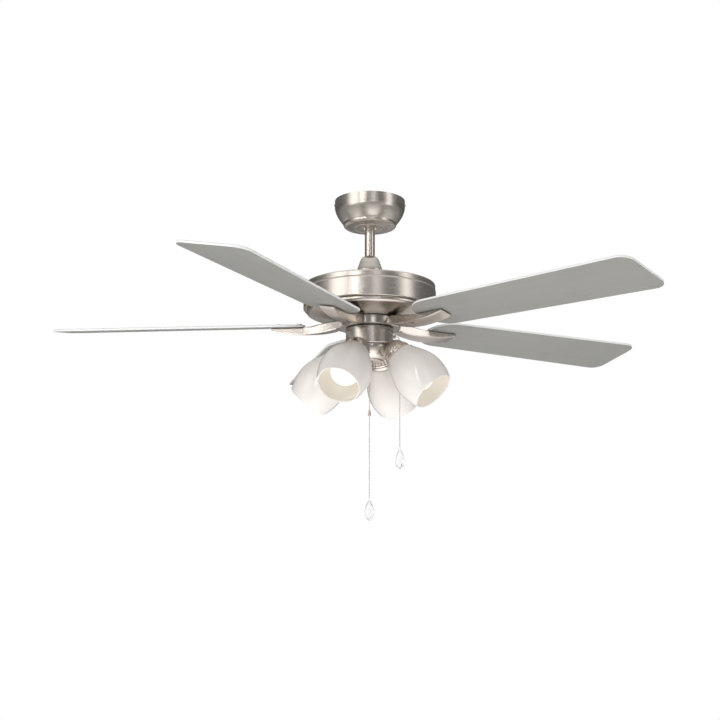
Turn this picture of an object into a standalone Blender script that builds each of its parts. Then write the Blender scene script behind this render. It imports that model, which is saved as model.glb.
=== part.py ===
"""Five-blade ceiling fan with a four-lamp light kit, hung on a short downrod.

Metres, +Z up. The origin is the middle of the hanger bracket's top face, on the ceiling.
"""
from math import atan2, cos, pi, radians, sin, sqrt

import bmesh
import bpy
from mathutils import Matrix, Vector

for old in list(bpy.data.objects):
    bpy.data.objects.remove(old, do_unlink=True)

# ---------------------------------------------------------------- general
GAP = 0.0003             # clearance between pieces that touch
SHEET = 0.0012           # spun steel of the covers
EDGE = 0.0006            # small break of an edge

# ---------------------------------------------------------------- ceiling end
CANOPY_R = 0.0742
CANOPY_H = 0.0590
CANOPY_WALL_H = 0.0145   # straight part under the ceiling
CANOPY_CURVE = 1.7       # how late the side turns in
CANOPY_STEP_R = 0.0562
CANOPY_FOOT_H = 0.0100
CANOPY_FOOT_ROUND = 0.0040
CANOPY_SIDES = 32
BOSS_R = 0.0335
BOSS_H = 0.0025
BRACKET_T = 0.0025
BRACKET_W = 0.030
BRACKET_LEG_X = 0.040
EAR_DROP = 0.014
BALL_R = 0.0225
BALL_Z = -0.030
BALL_CUT = 34            # degrees from the ball's pole to the edge of its flats
SEAT_R = 0.0195
SCREW_R = 0.0018
SCREW_HEAD_R = 0.0034
SCREW_HEAD_H = 0.0010
SCREW_TAIL = 0.0030      # length past the bracket's ear
SCREW_AT = 0.62          # share of the ear's drop

# ---------------------------------------------------------------- downrod
ROD_R = 0.01065
ROD_WALL = 0.0022
ROD_TOP_ABOVE_BALL = 0.016
ROD_SWING_GAP = 0.0029   # room round the rod in the canopy's hole
ROD_EXPOSED = 0.0600
PIN_R = 0.0030
PIN_INSET = 0.0022       # the ball's pin ends this far under its surface
PIN_TAIL = 0.0015        # the coupling's pin stands out this far
YOKE_R = 0.0175
YOKE_H = 0.036
YOKE_SOCKET = 0.0245     # depth of the rod's socket
COVER_H = 0.056
COVER_FOOT_R = 0.030
COVER_SINK = 0.0010      # the cover's foot under the dome's top
COVER_CURVE = [(0.10, 0.0), (0.27, 0.04), (0.41, 0.11), (0.52, 0.20), (0.83, 0.51)]  # shares of width and height

# ---------------------------------------------------------------- motor
DRUM_R = 0.1382
DRUM_H = 0.0530          # rim to underside
DOME_H = 0.0075          # rise of the top plate from rim to shaft
BAND_H = 0.0145          # shoulder band
BAND_INSET = 0.0012
RIM_ROUND = 0.0060
LIP_R = 0.1312
LIP_H = 0.0100
LIP_ROLL = 0.0050
FLANGE_W = 0.0060        # the drum's floor inside the lip
CONE_MOUTH_R = 0.0670
CONE_H = 0.0112
SHAFT_R = 0.0075
SHAFT_WALL = 0.0025
SHAFT_ROOM = 0.0025      # round the shaft in the drum's top
SHAFT_TAIL = 0.0060      # length inside the switch housing
BEARING_R = 0.0135
BEARING_H = 0.0060
BEARING_ROOM = 0.0010
ROTOR_R = 0.1120
ROTOR_WALL = 0.0030
ROTOR_TOP_GAP = 0.0035   # drum plate to rotor hub
ROTOR_FLOOR = 0.0015     # the rotor's floor above the drum's underside
ROTOR_BOSS_R = 0.030
BOSS_ROOM = 0.0030       # round the shaft in the rotor's boss
MAGNET_GAP = 0.0020
STATOR_ROOM = 0.0030     # above and under the windings
WINDING_IN_R = 0.046
WINDING_OUT_R = 0.078
WINDING_STEP = 0.0060    # the windings stand out of the iron core
FLYWHEEL_R = 0.0625
FLYWHEEL_T = 0.0067

# ---------------------------------------------------------------- blades
BLADES = 5
FIRST_BLADE_AZ = 174.0   # degrees, counter-clockwise from +X
BLADE_TIP_R = 0.6604
BLADE_ROOT_R = 0.1370
BLADE_ROOT_W = 0.1172
BLADE_TIP_W = 0.1452
BLADE_T = 0.0050
BLADE_PITCH = -11.1      # degrees
CORNER_STEPS = 6
TIP_CORNER_R = 0.026
ROOT_CORNER_R = 0.053
HUB_R = 0.0645
HUB_BORE_R = 0.034
HUB_H = 0.0163
ARM_W = 0.033
ARM_END_R = 0.205
ARM_END_T = 0.0060
ARM_SAG = 0.0185         # lowest point of the arm under the blade plane
ARM_LOW_R = 0.133        # where it is lowest
ARM_PAD_R = 0.140        # the blade rests on the arm from here outwards
ARM_ROOT = 0.012         # length inside its block of the hub
ARM_SOFT = 0.0018        # bevel of the lower edges
HUB_ROOM = 0.0018        # cone to hub
BLADE_RISE = 0.0006      # blade plane above the hub's middle

# ---------------------------------------------------------------- switch housing and light kit
CUP_R = 0.0493
CUP_H = 0.0360
CUP_ROUND = 0.0025
WIRE_HOLE_R = 0.010
PLATE_T = 0.0016
HUB_TO_CUP = 0.0017
FITTER_R = 0.0440
FITTER_H = 0.0325
FITTER_FOOT_R = 0.0270
FITTER_FOOT_H = 0.0040
FITTER_FOOT_IN = 0.0030
SPEED_SWITCH = (0.016, 0.026, 0.018)
CAPACITOR_R = 0.0075
CAPACITOR_L = 0.026
CAPACITOR_AZ = 230
REVERSE_SWITCH = (0.0080, 0.013, 0.022)
LIGHT_SWITCH_R = 0.011
LIGHT_SWITCH_L = 0.016
LAMPS = 4
FIRST_LAMP_AZ = 64.5
LAMP_TILT = 43.0
COLLAR_RADIUS = 0.0686   # distance of a shade collar's centre from the fan's axis
COLLAR_DROP = 0.0247     # and how far it lies under the switch housing
SHADE_L = 0.110
SHADE_BELLY_R = 0.0534
SHADE_BELLY_AT = 0.62    # share of the length
SHADE_MOUTH_R = 0.0434
SHADE_COLLAR_R = 0.0300
SHADE_NECK_R = 0.0272
SHADE_NECK_L = 0.010
GLASS = 0.0030
HOLDER_BACK = 0.034
HOLDER_BACK_R = 0.010
HOLDER_WALL = 0.0013
HOLDER_STEP = 0.0031     # the fluted side inside its ring
HOLDER_RING_H = 0.0077
NECK_ROOM = 0.0008       # round the glass collar
SOCKET_ROOM = 0.0040     # round the socket
SOCKET_SINK = 0.0085     # the socket's seat above the collar's
SOCKET_R = 0.0165
SOCKET_L = 0.0415
SOCKET_POCKET = 0.0240
BULB_R = 0.0300
BULB_BASE_R = 0.0132
BULB_L = 0.094
BULB_TIP_R = 0.0095
BULB_NECK_R = 0.0170

# ---------------------------------------------------------------- pull chains
CHAIN_R = 0.0012
CHAIN_ROOM = 0.0005      # radial play in a ferrule, a bushing or the connector
CHAIN_STEP = 3.0         # tube points, in chain diameters
FERRULE_AZ = 13.5
FERRULE_DROP = 0.0122    # under the switch housing's top
FERRULE_R = 0.0032
FERRULE_OUT = 0.0062
FERRULE_MOUTH_R = 0.0034
FERRULE_FLARE = 0.0020   # length of the flared mouth
BUSHING_IN = 0.0060
BUSHING_R = 0.0072
BUSHING_T = 0.0010
BUSHING_LIP_R = 0.0048
BUSHING_OUT = 0.0034
FOB_R = 0.0093
FOB_L = 0.046
FOB_TOP_R = 0.0024
CONNECTOR_R = 0.0033
CONNECTOR_END_R = 0.0023
CONNECTOR_L = 0.012
CONNECTOR_Z = -0.4535
SLIDER_AZ = 100.0
SLIDER_TRAVEL = 0.005
SLIDER_W = 0.0044
SLIDER_H = 0.0044
SLIDER_L = 0.0045
SLIDER_ROOM = 0.0010
SLIDER_DROP = 0.0110     # under the switch housing's top
SLIDER_BACK = 0.0025     # switch body behind the housing's wall

# Routes of the chains: (distance from the fan's axis, height), chosen by hand.
FAN_CHAIN_ROUTE = [
    (0.0560, -0.2905), (0.0585, -0.2905), (0.0608, -0.2911), (0.0626, -0.2928), (0.0637, -0.2955),
    (0.0642, -0.2990), (0.0643, -0.3040), (0.0643, -0.3150), (0.0643, -0.3300), (0.0643, -0.3500),
    (0.0643, -0.3750), (0.0643, -0.4000), (0.0643, -0.4250), (0.0643, -0.4500), (0.0643, -0.4750),
    (0.0643, -0.5000), (0.0643, -0.5212),
]
LIGHT_CHAIN_ROUTE = [
    (0.0, -0.3360), (0.0, -0.3500), (0.0, -0.3700), (0.0, -0.3900), (0.0, -0.4100), (0.0, -0.4300),
    (0.0, -0.4500), (0.0, -0.4700), (0.0, -0.4900), (0.0, -0.5100), (0.0, -0.5300), (0.0, -0.5500),
    (0.0, -0.5700), (0.0, -0.5900), (0.0, -0.6100), (0.0, -0.6276),
]

# ---------------------------------------------------------------- heights, from the ceiling down
CANOPY_TOP = -0.0005
CANOPY_BOTTOM = -CANOPY_H
BOSS_BOTTOM = CANOPY_BOTTOM - BOSS_H
COVER_TOP = BOSS_BOTTOM - ROD_EXPOSED
DOME_TOP = COVER_TOP - COVER_H + COVER_SINK
DRUM_TOP = DOME_TOP - DOME_H
DRUM_BOTTOM = DRUM_TOP - DRUM_H
LIP_BOTTOM = DRUM_BOTTOM - GAP - LIP_H
CONE_BOTTOM = LIP_BOTTOM - CONE_H
HUB_TOP = CONE_BOTTOM - HUB_ROOM
BLADE_Z = HUB_TOP - HUB_H / 2 + BLADE_RISE
HUB_BOTTOM = HUB_TOP - HUB_H
CUP_TOP = HUB_BOTTOM - HUB_TO_CUP
CUP_BOTTOM = CUP_TOP - CUP_H
FITTER_TOP = CUP_BOTTOM - GAP
FITTER_BOTTOM = FITTER_TOP - FITTER_H
COLLAR_Z = CUP_BOTTOM - COLLAR_DROP
YOKE_BOTTOM = DOME_TOP + GAP
YOKE_TOP = YOKE_BOTTOM + YOKE_H
ROD_BOTTOM = YOKE_TOP - YOKE_SOCKET + GAP
ROD_TOP = BALL_Z + ROD_TOP_ABOVE_BALL
HOLE_R = ROD_R + ROD_SWING_GAP
HOLDER_RING_R = SHADE_NECK_R + NECK_ROOM + HOLDER_WALL
HOLDER_R = HOLDER_RING_R - HOLDER_STEP
FERRULE_Z = CUP_TOP - FERRULE_DROP
ROTOR_TOP = DOME_TOP - SHEET - ROTOR_TOP_GAP
FLYWHEEL_BOTTOM = HUB_TOP + GAP


# ---------------------------------------------------------------- helpers
def material(name, colour, roughness, metallic=0.0, transmission=0.0, glow=0.0):
    mat = bpy.data.materials.new(name)
    mat.use_nodes = True
    shader = mat.node_tree.nodes["Principled BSDF"]
    shader.inputs["Base Color"].default_value = (*colour, 1.0)
    shader.inputs["Roughness"].default_value = roughness
    shader.inputs["Metallic"].default_value = metallic
    shader.inputs["Transmission Weight"].default_value = transmission
    shader.inputs["Emission Color"].default_value = (*colour, 1.0)
    shader.inputs["Emission Strength"].default_value = glow
    return mat


NICKEL = material("brushed_nickel", (0.62, 0.58, 0.54), 0.34, 1.0)
STEEL = material("plated_steel", (0.60, 0.60, 0.60), 0.40, 1.0)
IRON = material("motor_iron", (0.20, 0.20, 0.21), 0.55, 0.9)
ZINC = material("bearing_steel", (0.72, 0.72, 0.73), 0.25, 1.0)
RUBBER = material("ball_rubber", (0.05, 0.05, 0.05), 0.75)
BLADE_FACE = material("silver_blade", (0.42, 0.43, 0.41), 0.55)
FROST = material("frosted_glass", (0.93, 0.88, 0.84), 0.45, 0.0, 0.3)
LAMP = material("lamp_white", (1.0, 0.94, 0.80), 0.40, 0.0, 0.0, 0.8)
PORCELAIN = material("socket_white", (0.85, 0.84, 0.80), 0.40)
PLASTIC = material("switch_black", (0.04, 0.04, 0.04), 0.50)
CRYSTAL = material("clear_fob", (0.90, 0.92, 0.92), 0.08, 0.0, 0.8)


def finish(bm, name, mat, place=None, sharp=35.0):
    """Turns a bmesh into a named object, smooth except at its sharp edges."""
    bmesh.ops.remove_doubles(bm, verts=bm.verts, dist=1e-6)
    bmesh.ops.recalc_face_normals(bm, faces=bm.faces)
    mesh = bpy.data.meshes.new(name)
    bm.to_mesh(mesh)
    bm.free()
    mesh.shade_smooth()
    mesh.set_sharp_from_angle(angle=radians(sharp))
    mesh.materials.append(mat)
    obj = bpy.data.objects.new(name, mesh)
    bpy.context.scene.collection.objects.link(obj)
    if place is not None:
        obj.matrix_world = place
    return obj


def turned(name, profile, mat, segments=32, place=None):
    """Spins (radius, height) points about Z. A profile off the axis is closed into a ring."""
    bm = bmesh.new()
    verts = [bm.verts.new((r, 0.0, z)) for r, z in profile]
    edges = [bm.edges.new(pair) for pair in zip(verts, verts[1:])]
    if profile[0][0] > 0:
        edges.append(bm.edges.new((verts[-1], verts[0])))
    bmesh.ops.spin(bm, geom=verts + edges, cent=(0, 0, 0), axis=(0, 0, 1), angle=2 * pi,
                   steps=segments, use_merge=True)
    return finish(bm, name, mat, place)


def extruded(name, outline, depth, mat, place=None):
    """A flat outline in XY, centred on Z and pulled up and down to its depth."""
    bm = bmesh.new()
    face = bm.faces.new([bm.verts.new((x, y, -depth / 2)) for x, y in outline])
    pulled = bmesh.ops.extrude_face_region(bm, geom=[face])["geom"]
    bmesh.ops.translate(bm, verts=[v for v in pulled if isinstance(v, bmesh.types.BMVert)], vec=(0, 0, depth))
    return finish(bm, name, mat, place)


def box(name, size, mat, place=None):
    x, y = size[0] / 2, size[1] / 2
    return extruded(name, [(-x, -y), (x, -y), (x, y), (-x, y)], size[2], mat, place)


def rod(name, radius, length, mat, place=None, segments=16):
    half = length / 2
    return turned(name, [(0, half), (radius, half), (radius, -half), (0, -half)], mat, segments, place)


def arc(r, z, radius, start, stop, steps):
    """Points of a round stretch; degrees, 0 outwards and 90 up."""
    angles = [radians(start + (stop - start) * i / steps) for i in range(steps + 1)]
    return [(r + radius * cos(a), z + radius * sin(a)) for a in angles]


def at(x=0.0, y=0.0, z=0.0):
    return Matrix.Translation((x, y, z))


def spin_z(degrees):
    return Matrix.Rotation(radians(degrees), 4, "Z")


def guide(obj):
    obj.hide_render = True
    obj.display_type = "WIRE"
    return obj


def combine(obj, other, operation):
    mod = obj.modifiers.new(other.name, "BOOLEAN")
    mod.operation = operation
    mod.solver = "EXACT"
    mod.object = guide(other)


def along_x(x=0.0, y=0.0, z=0.0):
    """Places a piece made about Z so that its axis lies along X."""
    return at(x, y, z) @ Matrix.Rotation(pi / 2, 4, "Y")


# ---------------------------------------------------------------- ceiling end
def ear_x():
    """The ear's corners just clear the flats of the canopy's wall."""
    inside = (CANOPY_R - SHEET) * cos(pi / CANOPY_SIDES) - GAP
    return sqrt(inside**2 - (BRACKET_W / 2)**2)


def make_bracket():
    seat_top = BALL_Z - sqrt(BALL_R**2 - SEAT_R**2) - 2 * GAP
    base = seat_top - BRACKET_T
    x1, x2, x3 = BRACKET_LEG_X, ear_x() - BRACKET_T, ear_x()
    outline = [(-x3, 0), (-x3, -EAR_DROP), (-x2, -EAR_DROP), (-x2, -BRACKET_T), (-x1, -BRACKET_T), (-x1, base),
               (x1, base), (x1, -BRACKET_T), (x2, -BRACKET_T), (x2, -EAR_DROP), (x3, -EAR_DROP), (x3, 0)]
    upright = Matrix.Rotation(pi / 2, 4, "X")
    bracket = extruded("hanger_bracket", outline, BRACKET_W, STEEL, upright)
    window_h = -BRACKET_T - seat_top
    window = box("bracket_window", (2 * (x1 - BRACKET_T), 2 * BRACKET_W, window_h), STEEL,
                 at(0, 0, seat_top + window_h / 2))
    combine(bracket, window, "DIFFERENCE")
    combine(bracket, rod("ball_seat", SEAT_R, 4 * BRACKET_T, STEEL, at(0, 0, base), 32), "DIFFERENCE")
    return bracket


def make_canopy():
    top, low, bend = CANOPY_TOP, CANOPY_BOTTOM, -CANOPY_WALL_H
    foot = low + CANOPY_FOOT_H
    reach, drop = CANOPY_R - CANOPY_STEP_R - 2 * EDGE, bend - foot
    outer = [(CANOPY_R, top), (CANOPY_R, bend)]
    outer += [(CANOPY_R - reach * share**CANOPY_CURVE, bend - drop * share) for share in (0.3, 0.55, 0.8, 1.0)]
    outer += [(CANOPY_STEP_R, foot - 2 * EDGE), (CANOPY_STEP_R - EDGE, low + CANOPY_FOOT_H / 2)]
    outer += arc(CANOPY_STEP_R - CANOPY_FOOT_ROUND - EDGE, low + CANOPY_FOOT_ROUND, CANOPY_FOOT_ROUND, -15, -80, 2)
    outer += [(BOSS_R + EDGE, low - EDGE / 2), (BOSS_R, BOSS_BOTTOM), (HOLE_R, BOSS_BOTTOM)]
    inner = [(HOLE_R, BOSS_BOTTOM + SHEET), (BOSS_R - SHEET, BOSS_BOTTOM + SHEET), (BOSS_R - SHEET, low + SHEET)]
    inner += [(CANOPY_STEP_R - 5 * SHEET, low + SHEET + EDGE), (CANOPY_STEP_R - 2 * SHEET, low + 5 * SHEET)]
    inner += [(r - SHEET, z + SHEET / 2) for r, z in reversed(outer[2:6:2])]
    inner += [(CANOPY_R - SHEET, bend), (CANOPY_R - SHEET, top)]
    return turned("canopy", outer + inner, NICKEL, CANOPY_SIDES)


def make_canopy_screws(bracket, canopy):
    z = -EAR_DROP * SCREW_AT
    hole = rod("canopy_screw_holes", SCREW_R + GAP, 3 * CANOPY_R, STEEL, along_x(0, 0, z), 8)
    for piece in (bracket, canopy):
        combine(piece, hole, "DIFFERENCE")
    shank = CANOPY_R - ear_x() + BRACKET_T + SCREW_TAIL
    head = SCREW_HEAD_H
    profile = [(0, head), (SCREW_HEAD_R * 0.7, head), (SCREW_HEAD_R, head / 2), (SCREW_HEAD_R, 0), (SCREW_R, 0),
               (SCREW_R, -shank), (0, -shank)]
    for index, turn in enumerate((0, 180)):
        place = spin_z(turn) @ along_x(CANOPY_R + GAP, 0, z)
        turned(f"canopy_screw_{index + 1}", profile, NICKEL, 8, place)


def make_hanger_ball():
    bore = ROD_R + GAP
    edge = 90 - BALL_CUT
    outside = arc(0, 0, BALL_R, edge, -edge, 6)
    bore_half = BALL_R * sin(radians(edge))
    ball = turned("hanger_ball", outside + [(bore, -bore_half), (bore, bore_half)], RUBBER, 20, at(0, 0, BALL_Z))
    downrod = turned("downrod", [(ROD_R, ROD_TOP), (ROD_R, ROD_BOTTOM), (ROD_R - ROD_WALL, ROD_BOTTOM),
                                 (ROD_R - ROD_WALL, ROD_TOP)], NICKEL, 20)
    pin_hole = rod("cross_pin_hole", PIN_R + GAP, 4 * BALL_R, STEEL, along_x(0, 0, BALL_Z), 12)
    for piece in (ball, downrod):
        combine(piece, pin_hole, "DIFFERENCE")
    rod("ball_cross_pin", PIN_R, 2 * (BALL_R - PIN_INSET), ZINC, along_x(0, 0, BALL_Z), 12)
    return downrod


# ---------------------------------------------------------------- downrod and coupling
def dome_z(r):
    return DOME_TOP - DOME_H * (r - SHAFT_R) / (DRUM_R - SHAFT_R)


def make_coupling(downrod):
    bore, edge = SHAFT_R + GAP, 2 * EDGE
    yoke = turned("motor_coupling", [
        (ROD_R + GAP, YOKE_TOP), (YOKE_R - edge, YOKE_TOP), (YOKE_R, YOKE_TOP - edge), (YOKE_R, YOKE_BOTTOM),
        (bore, YOKE_BOTTOM), (bore, YOKE_TOP - YOKE_SOCKET), (ROD_R + GAP, YOKE_TOP - YOKE_SOCKET)], STEEL, 20)
    pin_z = YOKE_TOP - YOKE_SOCKET / 2
    pin_hole = rod("coupling_pin_hole", PIN_R + GAP, 4 * YOKE_R, STEEL, along_x(0, 0, pin_z), 12)
    for piece in (yoke, downrod):
        combine(piece, pin_hole, "DIFFERENCE")
    rod("coupling_pin", PIN_R, 2 * (YOKE_R + PIN_TAIL), ZINC, along_x(0, 0, pin_z), 12)
    foot = dome_z(COVER_FOOT_R - SHEET) + GAP
    neck = ROD_R + GAP
    reach, drop = COVER_FOOT_R - neck, COVER_TOP - foot
    side = [(neck + reach * across, COVER_TOP - drop * down) for across, down in COVER_CURVE]
    outer = [(neck, COVER_TOP), *side, (COVER_FOOT_R, foot)]
    inner = [(COVER_FOOT_R - SHEET, foot)]
    inner += [(r - SHEET, z - SHEET * (1 - down)) for (r, z), (_, down) in zip(side[:0:-1], COVER_CURVE[:0:-1])]
    turned("coupling_cover", outer + inner + [(neck, COVER_TOP - SHEET)], NICKEL, 20)


# ---------------------------------------------------------------- motor
def make_housing():
    hole = SHAFT_R + SHAFT_ROOM
    rim, band = DRUM_TOP, DRUM_TOP - BAND_H
    band_r, flange_r = DRUM_R - BAND_INSET, LIP_R - FLANGE_W
    outer = [(hole, dome_z(hole)), (DRUM_R - RIM_ROUND, dome_z(DRUM_R - RIM_ROUND)),
             (DRUM_R - RIM_ROUND / 2, rim - EDGE), (band_r, rim - RIM_ROUND / 2), (band_r, band + SHEET),
             (DRUM_R, band), (DRUM_R, DRUM_BOTTOM + SHEET), (DRUM_R - SHEET, DRUM_BOTTOM), (flange_r, DRUM_BOTTOM)]
    wall = band_r - SHEET
    inner = [(flange_r, DRUM_BOTTOM + SHEET), (wall, DRUM_BOTTOM + SHEET), (wall, rim - RIM_ROUND * 2 / 3),
             (DRUM_R - RIM_ROUND - EDGE, dome_z(DRUM_R) - SHEET), (hole, dome_z(hole) - SHEET)]
    turned("motor_housing", outer + inner, NICKEL, 36)
    top = DRUM_BOTTOM - GAP
    brim = LIP_R - 2 * FLANGE_W
    outer = [(brim, top), (LIP_R - EDGE, top), (LIP_R, top - EDGE)]
    outer += arc(LIP_R - LIP_ROLL, LIP_BOTTOM + LIP_ROLL, LIP_ROLL, 0, -80, 3)
    outer += [(CONE_MOUTH_R, CONE_BOTTOM)]
    inner = [(CONE_MOUTH_R - SHEET, CONE_BOTTOM + SHEET * 0.8), (LIP_R - LIP_ROLL * 1.5, LIP_BOTTOM + SHEET),
             (LIP_R - SHEET, LIP_BOTTOM + LIP_ROLL), (LIP_R - SHEET, top - SHEET), (brim, top - SHEET)]
    turned("motor_lower_cover", outer + inner, NICKEL, 36)


def make_shaft_and_rotor():
    shaft_bottom = CUP_TOP - SHAFT_TAIL
    shaft_top = YOKE_TOP - YOKE_SOCKET - GAP
    bore = SHAFT_R - SHAFT_WALL
    turned("motor_shaft", [(bore, shaft_top), (SHAFT_R, shaft_top), (SHAFT_R, shaft_bottom), (bore, shaft_bottom)],
           ZINC, 20)
    seat = BEARING_R + GAP
    hub = seat + ROTOR_WALL
    plate = ROTOR_TOP - BEARING_H - BEARING_ROOM
    turned("rotor_cover", [
        (seat, ROTOR_TOP), (hub, ROTOR_TOP), (hub, plate + ROTOR_WALL), (ROTOR_R, plate + ROTOR_WALL),
        (ROTOR_R, plate), (seat, plate)], IRON, 24)
    rim = plate - GAP
    floor_top = DRUM_BOTTOM + ROTOR_FLOOR
    floor_low = floor_top - ROTOR_WALL
    boss_low = FLYWHEEL_BOTTOM + FLYWHEEL_T + GAP
    boss_bore = SHAFT_R + BOSS_ROOM
    bearing_low = floor_top - BEARING_H - GAP
    turned("rotor_shell", [
        (ROTOR_R, rim), (ROTOR_R, floor_low), (ROTOR_BOSS_R, floor_low), (ROTOR_BOSS_R, boss_low),
        (boss_bore, boss_low), (boss_bore, bearing_low), (seat, bearing_low), (seat, floor_top),
        (ROTOR_R - ROTOR_WALL, floor_top), (ROTOR_R - ROTOR_WALL, rim)], IRON, 24)
    ring = SHAFT_R + GAP
    for name, low in (("upper_bearing", plate + BEARING_ROOM / 2), ("lower_bearing", bearing_low + GAP)):
        turned(name, [(ring, low + BEARING_H), (BEARING_R, low + BEARING_H), (BEARING_R, low), (ring, low)], ZINC, 16)
    middle = (rim + floor_top) / 2
    half = (rim - floor_top) / 2 - STATOR_ROOM
    core, shoulder = half - WINDING_STEP, half - WINDING_STEP * 2 / 3
    magnets = ROTOR_R - ROTOR_WALL - MAGNET_GAP
    upper = [(ring, shoulder), (WINDING_IN_R - WINDING_STEP, shoulder), (WINDING_IN_R, half), (WINDING_OUT_R, half),
             (WINDING_OUT_R + WINDING_STEP, core), (magnets, core)]
    lower = [(r, -z) for r, z in reversed(upper)]
    turned("stator", [(r, middle + z) for r, z in upper + lower], IRON, 18)
    wheel_bore = SHAFT_R + BOSS_ROOM * 1.5
    turned("flywheel", [(wheel_bore, FLYWHEEL_BOTTOM + FLYWHEEL_T), (FLYWHEEL_R, FLYWHEEL_BOTTOM + FLYWHEEL_T),
                        (FLYWHEEL_R, FLYWHEEL_BOTTOM), (wheel_bore, FLYWHEEL_BOTTOM)], IRON, 24)


# ---------------------------------------------------------------- blades
def smoothstep(value):
    value = min(max(value, 0.0), 1.0)
    return value * value * (3 - 2 * value)


def blade_outline():
    """Tapered board with round corners, +X outwards."""
    slope = (BLADE_TIP_W - BLADE_ROOT_W) / 2 / (BLADE_TIP_R - BLADE_ROOT_R)
    corners = [(BLADE_TIP_R, BLADE_TIP_W / 2, TIP_CORNER_R, -1), (BLADE_ROOT_R, BLADE_ROOT_W / 2, ROOT_CORNER_R, 1)]
    side = []
    lean = atan2(slope, 1)
    for x, half, radius, inwards in corners:
        cx = x + inwards * radius
        cy = half + inwards * radius * slope - radius / cos(lean)
        spread = [(0, pi / 2 + lean), (pi / 2 + lean, pi)][inwards > 0]
        for i in range(CORNER_STEPS + 1):
            a = spread[0] + (spread[1] - spread[0]) * i / CORNER_STEPS
            side.append((cx + radius * cos(a), cy + radius * sin(a)))
    return side + [(x, -y) for x, y in reversed(side)]


def arm_section(x):
    """Four corners of the arm at distance x from the fan's axis: (y, z) from the blade's axis."""
    turn = smoothstep((x - HUB_R) / (ARM_PAD_R - HUB_R))
    under_blade = -BLADE_T / 2 - GAP
    hub_top = HUB_TOP - BLADE_Z - EDGE
    top = hub_top + (under_blade - hub_top) * turn
    rise = (ARM_SAG - BLADE_T / 2 - ARM_END_T) / (ARM_END_R - ARM_LOW_R)**2
    low = -ARM_SAG + rise * (x - ARM_LOW_R)**2
    low = max(low, HUB_BOTTOM - BLADE_Z + EDGE) if x <= HUB_R else low
    half, soft = ARM_W / 2, ARM_SOFT
    tilt = Matrix.Rotation(radians(BLADE_PITCH) * turn, 2)
    corners = [(-half, top), (half, top), (half, low + soft), (half - soft, low), (-half + soft, low),
               (-half, low + soft)]
    return [tilt @ Vector(c) for c in corners]


def make_arm(number, place):
    bm = bmesh.new()
    stations = [HUB_R - ARM_ROOT, HUB_R] + [HUB_R + (ARM_END_R - HUB_R) * i / 10 for i in range(1, 11)]
    rings = [[bm.verts.new((x, *point)) for point in arm_section(x)] for x in stations]
    for ring in (rings[0], rings[-1]):
        bm.faces.new(ring)
    for near, far in zip(rings, rings[1:]):
        for i in range(len(near)):
            bm.faces.new((near[i - 1], near[i], far[i], far[i - 1]))
    arm = finish(bm, f"blade_arm_{number}", NICKEL, place)
    half_angle = 180 / BLADES
    edge = GAP / 2
    outline = []
    for radius, turns in ((HUB_R, range(-6, 7)), (HUB_BORE_R, range(6, -7, -1))):
        reach = radians(half_angle) - edge / radius
        outline += [(radius * cos(reach * i / 6), radius * sin(reach * i / 6)) for i in turns]
    block = extruded(f"hub_block_{number}", outline, HUB_H, NICKEL, place @ at(0, 0, HUB_TOP - HUB_H / 2 - BLADE_Z))
    combine(arm, block, "UNION")


def make_blades():
    outline = blade_outline()
    for number in range(1, BLADES + 1):
        place = at(0, 0, BLADE_Z) @ spin_z(FIRST_BLADE_AZ + (number - 1) * 360 / BLADES)
        make_arm(number, place)
        pitched = place @ Matrix.Rotation(radians(BLADE_PITCH), 4, "X")
        extruded(f"blade_{number}", outline, BLADE_T, BLADE_FACE, pitched)


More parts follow.
